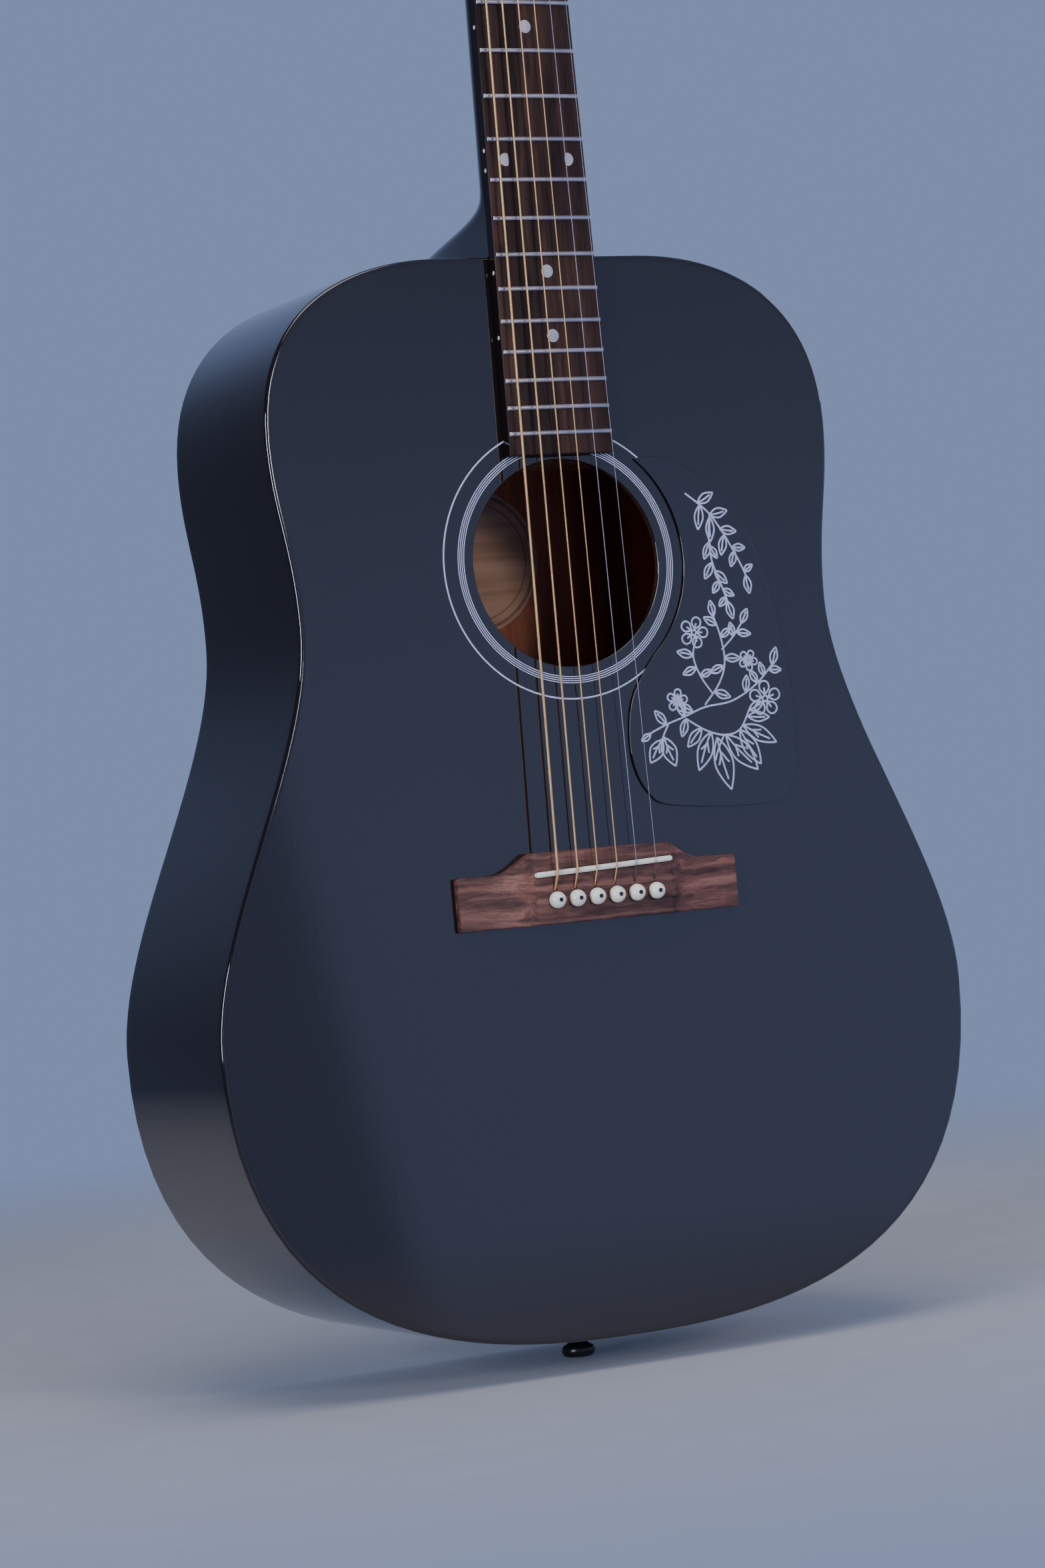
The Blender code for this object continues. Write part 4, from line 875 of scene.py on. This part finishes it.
def makeFingerboard():
    look = boardLook
    back, corner = faceY - seam, look["corner"]
    rings = []
    for z, drop in ((boardEnd, look["endDrop"]), (boardEnd + 0.0006, 0), (nutZ - seam, 0)):
        half = boardHalf(z)
        inner = half - corner
        ring = [(-half, back, z), (-half, boardY(half) + corner + drop, z)]
        for x in (-inner + 2 * inner * i / 16 for i in range(17)):
            ring.append((x, boardY(x) + drop, z))
        ring += [(half, boardY(half) + corner + drop, z), (half, back, z)]
        rings.append(ring)
    board = extrudeRings("fingerboard_rosewood", rings)
    paint(board, 1, lambda centre, normal: abs(normal.x) > 0.9)
    finishPiece(board, "rosewood", [rosewoodAlong, lacquer], "fingerboard")

    r, tiny = look["dot"], look["sideDot"]
    for number in look["dotFrets"]:
        z = (fretZ(number) + fretZ(number - 1)) / 2
        for x in (-look["twin"], look["twin"]) if number == 12 else (0,):
            dot = turnedPiece(f"dot_{number}_{'b' if x < 0 else 'a'}",
                              [(r, -0.001), (r, 0.00002), (r * 0.97, 0.00004), (r * 0.4, 0.00005)],
                              40, turnedAt((x, boardY(x), z), 90, "X"))
            finishPiece(dot, "bone", pearl)
        for shift in (-look["sideTwin"], look["sideTwin"]) if number == 12 else (0,):
            place = (-boardHalf(z + shift), faceY - look["sideLow"], z + shift)
            dot = turnedPiece(f"sideDot_{number}_{'b' if shift < 0 else 'a'}",
                              [(tiny, -0.001), (tiny, 0.00003), (tiny * 0.5, 0.00005)],
                              24, turnedAt(place, -90, "Y"))
            finishPiece(dot, "bone", bone)


def makeFrets():
    look = boardLook
    wide, tall = look["fretWide"] / 2, look["fretTall"]
    arch = [(cos(pi * i / 8), sin(pi * i / 8) ** 0.85) for i in range(9)]
    for number in range(1, look["frets"] + 1):
        z = fretZ(number)
        half = boardHalf(z) - look["fretInset"]
        # places across, each with its share of the full height
        stops = [(-half, 0.25), (0.0004 - half, 0.75), (0.0009 - half, 1)]
        stops += [(half * share, 1) for share in (-0.75, -0.5, -0.25, 0, 0.25, 0.5, 0.75)]
        stops += [(-x, share) for x, share in stops[2::-1]]
        rings = []
        for x, share in stops:
            ring = [(x, boardY(x) - tall * share * rise, z + wide * across) for across, rise in arch]
            rings.append(ring + [(x, boardY(x) + look["fretDeep"], z + side) for side in (-wide, wide)])
        finishPiece(extrudeRings(f"fret_{number:02d}", rings), "nickel", fretWire, smooth=50)


slotY = boardTop - boardLook["fretTall"] - stringGap


def makeNut():
    nut = block("nut_bone", nutLow, nutHigh, nutLook["round"], 4)
    start, stop = nutZ - 0.01, nutZ + 0.02
    slots = []
    for number, gauge in enumerate(gauges):
        x, r = (number - 2.5) * nutPitch, gauge / 2 + nutLook["spare"] + seam
        y = slotY - seam - gauge / 2
        slots.append(rod("slot", r, (x, y, start), (x, y, stop), 20))
        slots.append(block("slot", (x - r, y - 0.01, start), (x + r, y, stop)))
    cut(nut, *slots)
    finishPiece(nut, "bone", bone, "nut")


makeNeck()
makeFingerboard()
makeFrets()
makeNut()
print("neck, fingerboard and frets ready")


bridgeLook = {"half": 0.0745, "waist": 0.0555, "centre": 0.035, "up": 0.0093, "wingUp": 0.0006,
              "down": 0.0247, "tall": 0.0092, "wingTall": 0.0039, "round": 0.0008, "corner": 0.0012,
              "rampSpare": 0.0004, "rampLong": 0.0075}
saddleLook = {"long": 0.073, "thick": 0.0027, "slot": 0.002, "crown": 0.0007, "slant": 0.034233,
              "shoulder": 0.0012}
pinLook = {"ball": 0.0040, "lift": 0.0012, "shank": 0.0026, "long": 0.020, "flute": 0.0008,
           "dot": 0.00105}
bridgeTop = faceY - bridgeLook["tall"]


def bezierAt(points, x):
    # height of a falling curve at x
    line = interpolate_bezier(*(Vector(p) for p in points), 40)
    for a, b in zip(line, line[1:]):
        if a.x <= x <= b.x:
            return a.y + (b.y - a.y) * (x - a.x) / max(b.x - a.x, 1e-9)
    return line[-1].y if x > line[-1].x else line[0].y


def bridgeUp(x):
    look, x = bridgeLook, abs(x)
    if x <= look["centre"]:
        return look["up"]
    if x >= look["waist"]:
        return look["wingUp"]
    return bezierAt(((look["centre"], look["up"]), (look["centre"] + 0.004, look["up"] - 0.001),
                     (look["waist"] - 0.008, look["wingUp"]), (look["waist"], look["wingUp"])), x)


def bridgeTall(x):
    look, x = bridgeLook, abs(x)
    if x <= look["centre"] + 0.001:
        return look["tall"]
    low = look["wingTall"]
    return bezierAt(((look["centre"] + 0.001, look["tall"]), (look["centre"] + 0.007, low * 1.3),
                     (look["waist"] + 0.004, low * 1.1), (look["half"] + 0.002, low)), x)


def saddlePlace(y):
    return Matrix.Translation((0, y, saddleZ)) @ Matrix.Rotation(-saddleLook["slant"], 4, "Y")


def makeBridge():
    look = bridgeLook
    r, half, corner = look["round"], look["half"], look["corner"]
    xs = [half, half - r * 0.3, half - r]
    xs += [half - corner - (half - corner - look["centre"]) * i / 34 for i in range(35)]
    xs += [look["centre"] * share for share in (0.8, 0.6, 0.4, 0.2)]
    xs = [-x for x in xs] + [0] + xs[::-1]
    turns = [pi / 2 * i / 5 for i in range(6)]
    rings = []
    for x in xs:
        away = half - abs(x)
        pull = corner - sqrt(max(corner ** 2 - max(corner - away, 0) ** 2, 0))
        sink = r - sqrt(max(r * r - max(r - away, 0) ** 2, 0))
        low, high = saddleZ - look["down"] + pull, saddleZ + bridgeUp(x) - pull
        front = faceY - bridgeTall(x) + sink
        ring = [(x, faceY - seam, low), (x, front + r, low)]
        ring += [(x, front + r - r * sin(a), low + r - r * cos(a)) for a in turns[1:]]
        ring += [(x, front, low + (high - low) * share) for share in (0.25, 0.5, 0.75)]
        ring += [(x, front + r - r * cos(a), high - r + r * sin(a)) for a in turns[:-1]]
        ring += [(x, front + r, high), (x, faceY - seam, high)]
        rings.append(ring)
    bridge = extrudeRings("bridge_rosewood", rings)
    long, thick, deep = saddleLook["long"] / 2 + seam, saddleLook["thick"] / 2 + seam, saddleLook["slot"]
    slot = block("slot", (-long, -deep - 0.002, -thick), (long, deep, thick), 0.0012, 3)
    slot.data.transform(saddlePlace(bridgeTop))
    holes = [rod("hole", pinHoleR, (x, bridgeTop - 0.01, pinZ), (x, faceY + 0.01, pinZ), 32) for x in pinXs]
    cut(bridge, slot, *holes)
    for number, gauge in enumerate(gauges):
        mouth, over = (Vector(p) for p in stringAtBridge(number)[1:3])
        along = (over - mouth).normalized()
        cut(bridge, rod("ramp", gauge / 2 + look["rampSpare"], mouth - along * 0.002,
                        mouth + along * look["rampLong"], 16))
    finishPiece(bridge, "rosewood", rosewoodAcross, "bridge")


def makeSaddle():
    look = saddleLook
    r, half = look["thick"] / 2, look["long"] / 2
    reach = half - r

    def ring(y, shrink, crown=look["crown"]):
        points = []
        for side in (1, -1):
            for angle in (-pi / 2 + pi * i / 8 for i in range(9)):
                points.append((side * (reach + (r - shrink) * cos(angle)), side * (r - shrink) * sin(angle)))
            points += [(side * reach * (1 - 2 * i / 10), side * (r - shrink)) for i in range(1, 10)]
        return [saddlePlace(0) @ Vector((x, y + crown * (x / half) ** 2, z)) for x, z in points]

    shoulder = look["shoulder"]
    rings = [ring(bridgeTop + look["slot"] - seam, 0, 0), ring(saddleTop + shoulder, 0)]
    for turn in (radians(angle) for angle in (30, 55, 75, 88)):
        rings.append(ring(saddleTop + shoulder * (1 - sin(turn)), (r - 0.0001) * (1 - cos(turn))))
    finishPiece(extrudeRings("saddle_bone", rings), "bone", bone, "saddle", smooth=50)


def makePins():
    look = pinLook
    profile = [(look["shank"] * 0.6, -look["long"]), (look["shank"] * 0.72, -look["long"] + 0.0006),
               (look["shank"], -0.0012), (look["shank"], 0.0002)]
    start = -0.9 * look["lift"] / look["ball"]
    for i in range(15):
        angle = start + (pi / 2 - start) * i / 15
        profile.append((look["ball"] * cos(angle), look["lift"] + look["ball"] * 0.98 * sin(angle)))
    profile = [p for p in profile if p[0] > look["dot"] * 1.02 or p[1] < 0.001]
    top = look["lift"] + look["ball"] * 0.98
    profile += [(look["dot"], top - 0.00012), (look["dot"] * 0.96, top - 0.00003), (look["dot"] * 0.3, top)]
    for number, x in enumerate(pinXs):
        pin = turnedPiece(f"pin_{number + 1}", profile, 40, turnedAt((x, bridgeTop - seam, pinZ), 90, "X"))
        cut(pin, block("flute", (x - 0.004, bridgeTop, pinZ + look["flute"]),
                       (x + 0.004, bridgeTop + 0.021, pinZ + 0.006)))
        tip = Vector((x, bridgeTop - seam - top, pinZ))
        paint(pin, 1, lambda centre, normal: (centre - tip).length < look["dot"])
        finishPiece(pin, "bone", [bone, inkBlack], f"bridge_pin_{number + 1}", smooth=40)


stringLook = {"wraps": (2, 2, 2, 3, 4, 4), "wrapStart": 0.0046, "wrapSpare": 0.00022, "post": 0.003,
              "bronze": (1.0, 0.60, 0.26), "pitch": (0.00042, 0.00036, 0.0003, 0.00026)}


def stringAtBridge(number):
    # in its hole, at the hole's mouth, over the saddle
    x, r = pinXs[number], gauges[number] / 2
    z = pinZ + (pinLook["flute"] + pinHoleR) / 2
    over = saddleZ + x * tan(saddleLook["slant"])
    return [(x, faceY + 0.0076, z), (x, bridgeTop + 0.0022, z), (x, saddleTop - seam - r, over)]


def stringPath(number):
    side, up, postX = tunerPlace(number)
    r = gauges[number] / 2
    x, y = (number - 2.5) * nutPitch, slotY - seam - r
    low, mouth, over = (Vector(p) for p in stringAtBridge(number))
    nutFront, nutRear = Vector((x, y, nutZ)), Vector((x, y, nutZ + neckLook["nutThick"] + 0.0006))
    points = [low, mouth + (low - mouth) * 0.12, mouth + (over - mouth) * 0.06]
    # a short easy bend over the saddle
    for share in (0.0, 0.25, 0.5, 0.75, 1.0):
        before, after = over + (mouth - over) * 0.09, over + (nutFront - over).normalized() * 0.0012
        points.append((1 - share) ** 2 * before + 2 * share * (1 - share) * over + share ** 2 * after)
    points += [nutFront, nutRear]
    reach, perTurn = stringLook["post"] + seam + r, 20
    for turn in (i / perTurn for i in range(stringLook["wraps"][number] * perTurn + 1)):
        x = side * (abs(postX) - reach * cos(2 * pi * turn))
        depth = -stringLook["wrapStart"] - (gauges[number] + stringLook["wrapSpare"]) * turn
        points.append(headFrame @ Vector((x, depth, up + reach * sin(2 * pi * turn))))
    return points


def makeStrings():
    look = stringLook
    for number, gauge in enumerate(gauges):
        line = wires(f"guitarString_{number + 1}", [stringPath(number)], gauge / 2, 3)
        editWhole(line)
        bpy.ops.mesh.remove_doubles(threshold=0.000005)
        bpy.ops.mesh.normals_make_consistent(inside=False)
        leaveEdit()
        if number < len(look["pitch"]):
            material = woundFinish(f"woundBronze_{number + 1}", look["bronze"], look["pitch"][number])
            finishPiece(line, "bronze", material, f"string_{number + 1}", smooth=60)
        else:
            finishPiece(line, "steel", plainString, f"string_{number + 1}", smooth=60)
        end = Vector(stringAtBridge(number)[0]) + Vector((0, 0.0016, 0))
        profile = [(0.0012, -0.0017), (0.0019, -0.0014), (0.0013, 0), (0.0019, 0.0014), (0.0012, 0.0017)]
        ball = turnedPiece(f"ballEnd_{number + 1}", profile, 28, turnedAt(end, 90, "Y"))
        finishPiece(ball, "bronze", brass, smooth=50)


makeBridge()
makeSaddle()
makePins()
makeStrings()
print("bridge, saddle, pins and strings ready")


guardLook = {"arc": 0.0625, "from": 50, "to": -48, "thick": 0.001, "bevel": 0.0004,
             "edge": ((0.0325, 0.405), (0.0262, 0.500), (0.0250, 0.655), (0.0320, 0.774), (0.0460, 0.824),
                      (0.0960, 0.842), (0.1110, 0.788), (0.1155, 0.642), (0.1155, 0.483), (0.1130, 0.282),
                      (0.1065, 0.08), (0.0970, -0.103), (0.0824, -0.226), (0.0684, -0.294), (0.0545, -0.334))}
engravingLook = {"line": 0.0005, "proud": 0.14}


def makePickguard():
    look = guardLook
    arc = []
    for i in range(49):
        angle = radians(look["from"] + (look["to"] - look["from"]) * i / 48)
        arc.append((look["arc"] * cos(angle), holeZ + look["arc"] * sin(angle)))
    span = holeZ - (saddleZ + bridgeLook["wingUp"])
    edge = smoothLine([arc[-1]] + [(x, holeZ - down * span) for x, down in look["edge"]] + [arc[0]], 10)
    loop = arc + [tuple(p) for p in edge[1:-1]]
    back, front = faceY - seam, faceY - seam - look["thick"]
    guard = extrudeRings("pickguard_plate", plate(loop, front, back))
    soften(guard, look["bevel"], 3, 60)
    finishPiece(guard, "black_plastic", guardBlack, "pickguard")


def leafStrokes(base, angle, long, wide, veins):
    # a pointed oval from its stalk, with a midrib, and side veins from 2 veins up; angle 0 is up, clockwise
    along = Vector((sin(radians(angle)), cos(radians(angle))))
    across = Vector((along.y, -along.x))
    base = Vector(base)

    def at(u, v):
        return base + along * (u * long) + across * (v * wide)
    strokes = [[at(0, 0), at(0.22, 0.34), at(0.5, 0.5), at(0.78, 0.3), at(1, 0)],
               [at(1, 0), at(0.78, -0.3), at(0.5, -0.5), at(0.22, -0.34), at(0, 0)],
               [at(0, 0), at(0.4, 0.05), at(0.8, 0)]]
    for u in (0.28 + 0.24 * vein for vein in range(veins - 1)):
        strokes += [[at(u, 0), at(u + 0.16, v), at(u + 0.22, 1.5 * v)] for v in (0.2, -0.2)]
    return strokes


def blossomStrokes(middle, size, turn):
    # five petals, each with a rib, round a small ring
    middle = Vector(middle)
    petal = ((0.22, 0), (0.55, 0.30), (0.88, 0.26), (1, 0), (0.88, -0.26), (0.55, -0.30), (0.22, 0))
    strokes = []
    for angle in (radians(turn + 72 * number) for number in range(5)):
        along = Vector((sin(angle), cos(angle)))
        across = Vector((along.y, -along.x))
        strokes.append([middle + along * (u * size) + across * (v * size) for u, v in petal])
        strokes.append([middle + along * (0.25 * size), middle + along * (0.62 * size)])
    ring = [middle + Vector((sin(a), cos(a))) * size * 0.16 for a in (2 * pi * i / 8 for i in range(9))]
    return strokes + [ring]


def makeEngraving():
    # millimetres from the soundhole's middle: x to the treble side, y up the neck
    branches = (
        ((66.5, 30), (73, 25), (79, 19.5), (85, 11), (89.5, 3), (94, -6), (96.5, -12)),
        ((79, 19.5), (77.5, 9), (78, -3), (82, -15), (85, -24)),
        ((35, -84), (45, -80), (55, -77), (67, -73), (82, -71), (96, -64), (106, -55)),
        ((67, -72), (76, -62), (80, -52), (79, -40), (76, -30)),
        ((79, -46), (86, -40), (91, -34)),
        ((72, -67), (66, -58), (63, -48), (66, -39)),
        ((56, -78), (66, -84), (76, -87), (85, -85), (91, -76)),
        ((46, -80), (42, -87), (41, -93)),
        ((76, -87), (72, -94), (70, -99)),
    )
    leaves = (  # stalk, angle, length, width, veins
        ((73, 25), 62, 10, 4.4, 1), ((74, 24), 190, 12, 4.6, 1), ((79, 19), 80, 10, 4.6, 1),
        ((79, 18), 184, 12, 4.4, 1), ((84, 12), 100, 9, 4, 1), ((86, 9), 195, 10, 4.2, 1),
        ((90, 3), 95, 7, 3.4, 0), ((91, 1), 200, 8, 3.6, 1), ((95, -9), 60, 6, 3, 0),
        ((96, -11), 172, 9, 4, 1),
        ((77.6, 6), 205, 9, 3.6, 1), ((77.6, 4), 150, 7, 3.2, 0), ((78, -4), 212, 9, 4, 1),
        ((79, -8), 135, 9, 4, 1), ((81, -13), 215, 7, 3.4, 0), ((82.5, -17), 120, 7, 3.2, 1),
        ((84.5, -23), 165, 9, 4, 1), ((84, -21), 225, 6, 3, 0),
        ((76, -30), 352, 8, 3.6, 1), ((77.5, -34), 300, 8, 3.6, 1), ((79, -40), 55, 7, 3.2, 1),
        ((91, -34), 30, 8, 3.6, 1), ((88, -38), 100, 8, 3.4, 1), ((86, -40), 350, 7, 3.2, 0),
        ((80, -50), 95, 9, 3.8, 1), ((79, -54), 250, 8, 3.6, 1), ((63, -48), 285, 9, 4, 1),
        ((64, -54), 250, 8, 3.6, 1), ((73, -66), 110, 9, 4, 1), ((66, -58), 70, 7, 3.2, 1),
        ((45, -80), 320, 9, 4, 1), ((55, -77), 345, 10, 4.4, 1), ((60, -75), 300, 8, 3.6, 1),
        ((90, -67), 10, 8, 3.6, 1), ((97, -63), 330, 7, 3.4, 1), ((106, -55), 20, 9, 4, 1),
        ((104, -57), 95, 7, 3.4, 1), ((101, -60), 345, 7, 3.2, 0),
        ((42, -87), 215, 13, 7, 2), ((43, -86), 160, 15, 7.4, 2), ((56, -78), 200, 9, 4, 1),
        ((69, -85), 205, 20, 8, 2), ((72, -88), 168, 26, 10, 2), ((77, -87), 138, 24, 9.4, 2),
        ((64, -83), 225, 12, 5, 1), ((85, -85), 150, 20, 7.6, 2), ((87, -83), 118, 20, 7, 2),
        ((91, -76), 68, 9, 4, 1), ((90, -79), 95, 12, 4.6, 1), ((36, -84), 240, 6, 3, 0),
    )
    blossoms = (((64.5, -37), 7.5, 20), ((100.5, -71), 8.5, 0), ((93, -52), 5, 30), ((52, -69), 5.5, 10))
    strokes = [[Vector(p) for p in branch] for branch in branches]
    for stalk, angle, long, wide, veins in leaves:
        strokes += leafStrokes(stalk, angle, long, wide, veins)
    for middle, size, turn in blossoms:
        strokes += blossomStrokes(middle, size, turn)

    lines = []
    for stroke in strokes:
        line = smoothLine(stroke, 5) if len(stroke) > 2 else stroke
        lines.append([(p.x / 1000, 0, holeZ + p.y / 1000) for p in line])
    drawing = wires("pickguardEngraving", lines, engravingLook["line"], 1)
    front = faceY - seam - guardLook["thick"]
    flat = Matrix.Diagonal((1, engravingLook["proud"], 1, 1))
    drawing.data.transform(Matrix.Translation((0, front, 0)) @ flat)
    finishPiece(drawing, "bone", paintWhite, smooth=60)


makePickguard()
makeEngraving()
print("pickguard and engraving ready")


tunerLook = {"front": 0.0153, "tall": 0.010, "wall": 0.0022, "room": 0.0004, "floor": 0.0012, "lip": 0.003,
             "round": 0.0022, "sleeve": 0.0046, "gear": 0.0055, "gearThick": 0.004, "teeth": 14,
             "tooth": 0.0006, "worm": 0.002, "thread": 0.0011, "collar": 0.0032, "stem": 0.0016, "out": 0.026,
             "button": (0.0034, 0.0095, 0.0085), "postProud": 0.013, "postWay": 0.0034, "screw": 0.0012,
             "screwIn": 0.0014}
tunerMiddle = tunerLook["front"] + 0.002 + seam + tunerLook["gearThick"] / 2
wormUp = tunerLook["gear"] + tunerLook["worm"] + seam
chamber = tunerLook["gear"] + tunerLook["room"]


def tunerFrame(number):
    _, up, x = tunerPlace(number)
    return headFrame @ Matrix.Translation((x, 0, up))


def makeHousing(number):
    look = tunerLook
    side = tunerPlace(number)[0]
    place = tunerFrame(number)
    wide = chamber + look["wall"]
    front, back = look["front"], look["front"] + look["tall"]
    tunnel = look["worm"] + look["room"]
    top = wormUp + tunnel + look["wall"]
    case = block("case", (-wide, front, -wide), (wide, back, top))

    def onRoundedEdge(edge):
        first, second = (vert.co.y for vert in edge.verts)
        return min(first, second) > back - 1e-5 or abs(first - second) > look["tall"] / 2

    editWhole(case)
    pick(case, onRoundedEdge, "EDGE")
    bpy.ops.mesh.bevel(offset=look["round"], segments=5, affect="EDGES")
    leaveEdit()
    flange = block("flange", (-wide - look["room"], front, -wide - look["lip"]),
                   (wide + look["room"], front + look["floor"], top + look["lip"]), 0.0005, 2)
    sleeve = rod("sleeve", look["sleeve"], (0, seam, 0), (0, front + 0.001, 0), 48)
    cut(case, flange, sleeve, how="UNION")
    gearBack = tunerMiddle + look["gearThick"] / 2 + seam
    wormStart, wormEnd = -side * (chamber + look["room"]), side * 0.03
    cut(case, rod("gearRoom", chamber, (0, front + 0.002, 0), (0, gearBack, 0), 48),
        rod("postWay", look["postWay"], (0, -0.01, 0), (0, tunerMiddle, 0), 40),
        rod("wormWay", tunnel, (wormStart, tunerMiddle, wormUp), (wormEnd, tunerMiddle, wormUp), 32))
    soften(case, 0.0002, 1, 50)
    case.data.transform(place)
    case.name = f"tunerHousing_{number + 1}"
    finishPiece(case, "nickel", nickel, f"tuner_housing_{number + 1}", smooth=40)

    # the bushing's washer on the headstock's face, and the two mounting screws behind it
    profile = [(0.0037, -0.0002), (0.0066, -0.0002), (0.0066, 0.0003), (0.0062, 0.0007), (0.0052, 0.0009),
               (0.0048, 0.0019), (0.0044, 0.0021), (0.0037, 0.0021), (0.0036, 0.0004)]
    washer = turnedPiece(f"tunerWasher_{number + 1}", profile, 48)
    cut(washer, rod("bore", look["postWay"], (0, 0, -0.01), (0, 0, 0.01), 40))
    washer.data.transform(place @ turnedAt((0, -0.0002, 0), 90, "X"))
    finishPiece(washer, "nickel", nickel, smooth=35)
    for label, height in (("low", -wide - look["screwIn"]), ("high", top + look["screwIn"])):
        screwHead(f"tunerScrew_{number + 1}_{label}", look["screw"],
                  place @ turnedAt((0, front + look["floor"], height), -90, "X"))


def screwHead(name, radius, place):
    # a small oval head with a cross recess, its shank going down -Z before it is placed
    profile = [(radius * 0.5, -0.004), (radius * 0.55, -0.0002), (radius, -0.0001), (radius, radius * 0.2),
               (radius * 0.8, radius * 0.45), (radius * 0.3, radius * 0.55)]
    screw = turnedPiece(name, profile, 28)
    for x, y in ((0.6, 0.13), (0.13, 0.6)):
        cut(screw, block("slot", (-radius * x, -radius * y, radius * 0.2), (radius * x, radius * y, radius)))
    screw.data.transform(place)
    finishPiece(screw, "nickel", nickel, smooth=40)


def makeKey(number):
    look = tunerLook
    worm, collar, stem, out = look["worm"], look["collar"], look["stem"], look["out"]
    wall = chamber + look["wall"]
    profile = [(worm * 0.7, -chamber)]
    for i in range(int(2 * chamber / look["thread"])):
        height = -chamber + 0.0004 + i * look["thread"]
        profile += [(worm * 0.72, height), (worm, height + 0.0003), (worm, height + 0.0005),
                    (worm * 0.72, height + 0.0008)]
    profile += [(worm, wall - 0.002), (worm, wall + 0.0005), (collar * 0.9, wall + 0.0007),
                (collar, wall + 0.0011), (collar, wall + 0.0026), (collar * 0.85, wall + 0.0030),
                (stem * 1.2, wall + 0.0035), (stem, wall + 0.0045), (stem, out)]
    key = turnedPiece("key", profile, 32)
    deselect()
    bpy.ops.mesh.primitive_cube_add(size=2, location=(0, 0, out))
    button = bpy.context.object
    editWhole(button)
    bpy.ops.mesh.bevel(offset=0.5, segments=3, affect="EDGES")
    leaveEdit()
    button.scale = look["button"]
    settle(button)
    for vert in button.data.vertices:  # the button narrows towards its stem
        vert.co.y *= 1 + 0.14 * (vert.co.z - out) / look["button"][2]
    applyModifier(button, "SUBSURF", levels=2, render_levels=2)
    cut(key, button, how="UNION")
    side = tunerPlace(number)[0]
    key.data.transform(tunerFrame(number) @ turnedAt((0, tunerMiddle, wormUp), side * 90, "Y"))
    key.name = f"tunerKey_{number + 1}"
    finishPiece(key, "nickel", nickel, f"tuner_key_{number + 1}", body=f"key_{number + 1}", smooth=40)


def makePost(number):
    look = tunerLook
    r, gear, proud, steps = stringLook["post"], look["gear"], look["postProud"], 56
    low, high = -tunerMiddle - look["gearThick"] / 2, -tunerMiddle + look["gearThick"] / 2
    # radius, height and depth of the teeth
    stations = ((r * 0.8, low, 0), (gear, low, look["tooth"]), (gear, high, look["tooth"]), (r, high, 0),
                (r, 0.0035, 0), (r * 0.9, 0.0045, 0), (r * 0.84, 0.0065, 0), (r * 0.9, 0.009, 0),
                (r, 0.010, 0), (r, proud - 0.0008, 0), (r * 0.8, proud - 0.0001, 0), (r * 0.3, proud, 0))
    rings = []
    for radius, height, tooth in stations:
        ring = []
        for angle in (2 * pi * i / steps for i in range(steps)):
            reach = radius - tooth * (0.5 + 0.5 * cos(look["teeth"] * angle))
            ring.append((reach * cos(angle), reach * sin(angle), height))
        rings.append(ring)
    post = extrudeRings(f"tunerPost_{number + 1}", rings)
    cut(post, rod("stringHole", 0.0009, (-0.01, 0, 0.0098), (0.01, 0, 0.0098), 20))
    post.data.transform(tunerFrame(number) @ Matrix.Rotation(pi / 2, 4, "X"))
    finishPiece(post, "nickel", nickel, f"tuner_post_{number + 1}", body=f"post_{number + 1}", smooth=40)


coverLook = {"low": 0.004, "high": 0.046, "half": 0.0115, "thick": 0.0018, "screw": 0.0013}


def makeTrussCover():
    look = coverLook
    half, low, high = look["half"], look["low"], look["high"]
    points = [(0, low), (half, low), (half * 0.93, low + 0.016), (half * 0.45, high - 0.012), (0, high),
              (-half * 0.45, high - 0.012), (-half * 0.93, low + 0.016), (-half, low)]
    loop = [tuple(p) for p in smoothLine(points, 10, closed=True)]
    cover = extrudeRings("trussCover", plate(loop, -seam - look["thick"], -seam))
    soften(cover, 0.0004, 3, 50)
    cover.data.transform(headFrame)
    finishPiece(cover, "black_plastic", plasticBlack, "truss_rod_cover")
    for label, x, z in (("left", -half * 0.72, low + 0.005), ("right", half * 0.72, low + 0.005),
                        ("top", 0, high - 0.006)):
        screwHead(f"coverScrew_{label}", look["screw"],
                  headFrame @ turnedAt((x, -seam - look["thick"], z), 90, "X"))


buttonLook = {"radius": 0.0082, "shank": 0.0045, "long": 0.0215}


def makeEndButton():
    r, shank, proud = buttonLook["radius"], buttonLook["shank"], tailZ - seam
    end = proud + buttonLook["long"]
    points = [(0.74, 0), (0.85, 0.0004), (0.96, 0.0016), (1.0, proud - 0.0105), (0.93, proud - 0.0088),
              (0.62, proud - 0.0072), (0.54, proud - 0.005), (0.6, proud - 0.0022), (0.86, proud - 0.0012)]
    profile = [(r * 0.3, 0)] + [tuple(p) for p in smoothLine([(r * a, b) for a, b in points], 4)]
    profile += [(r * 0.86, proud), (shank, proud), (shank, end), (shank * 0.85, end + 0.0005)]
    button = turnedPiece("endButton", profile, 64)
    finishPiece(button, "black_plastic", plasticBlack, "end_button", smooth=40)


for tuner in range(6):
    makeHousing(tuner)
    makeKey(tuner)
    makePost(tuner)
makeTrussCover()
makeEndButton()
print("tuners, cover and end button ready")

deselect()
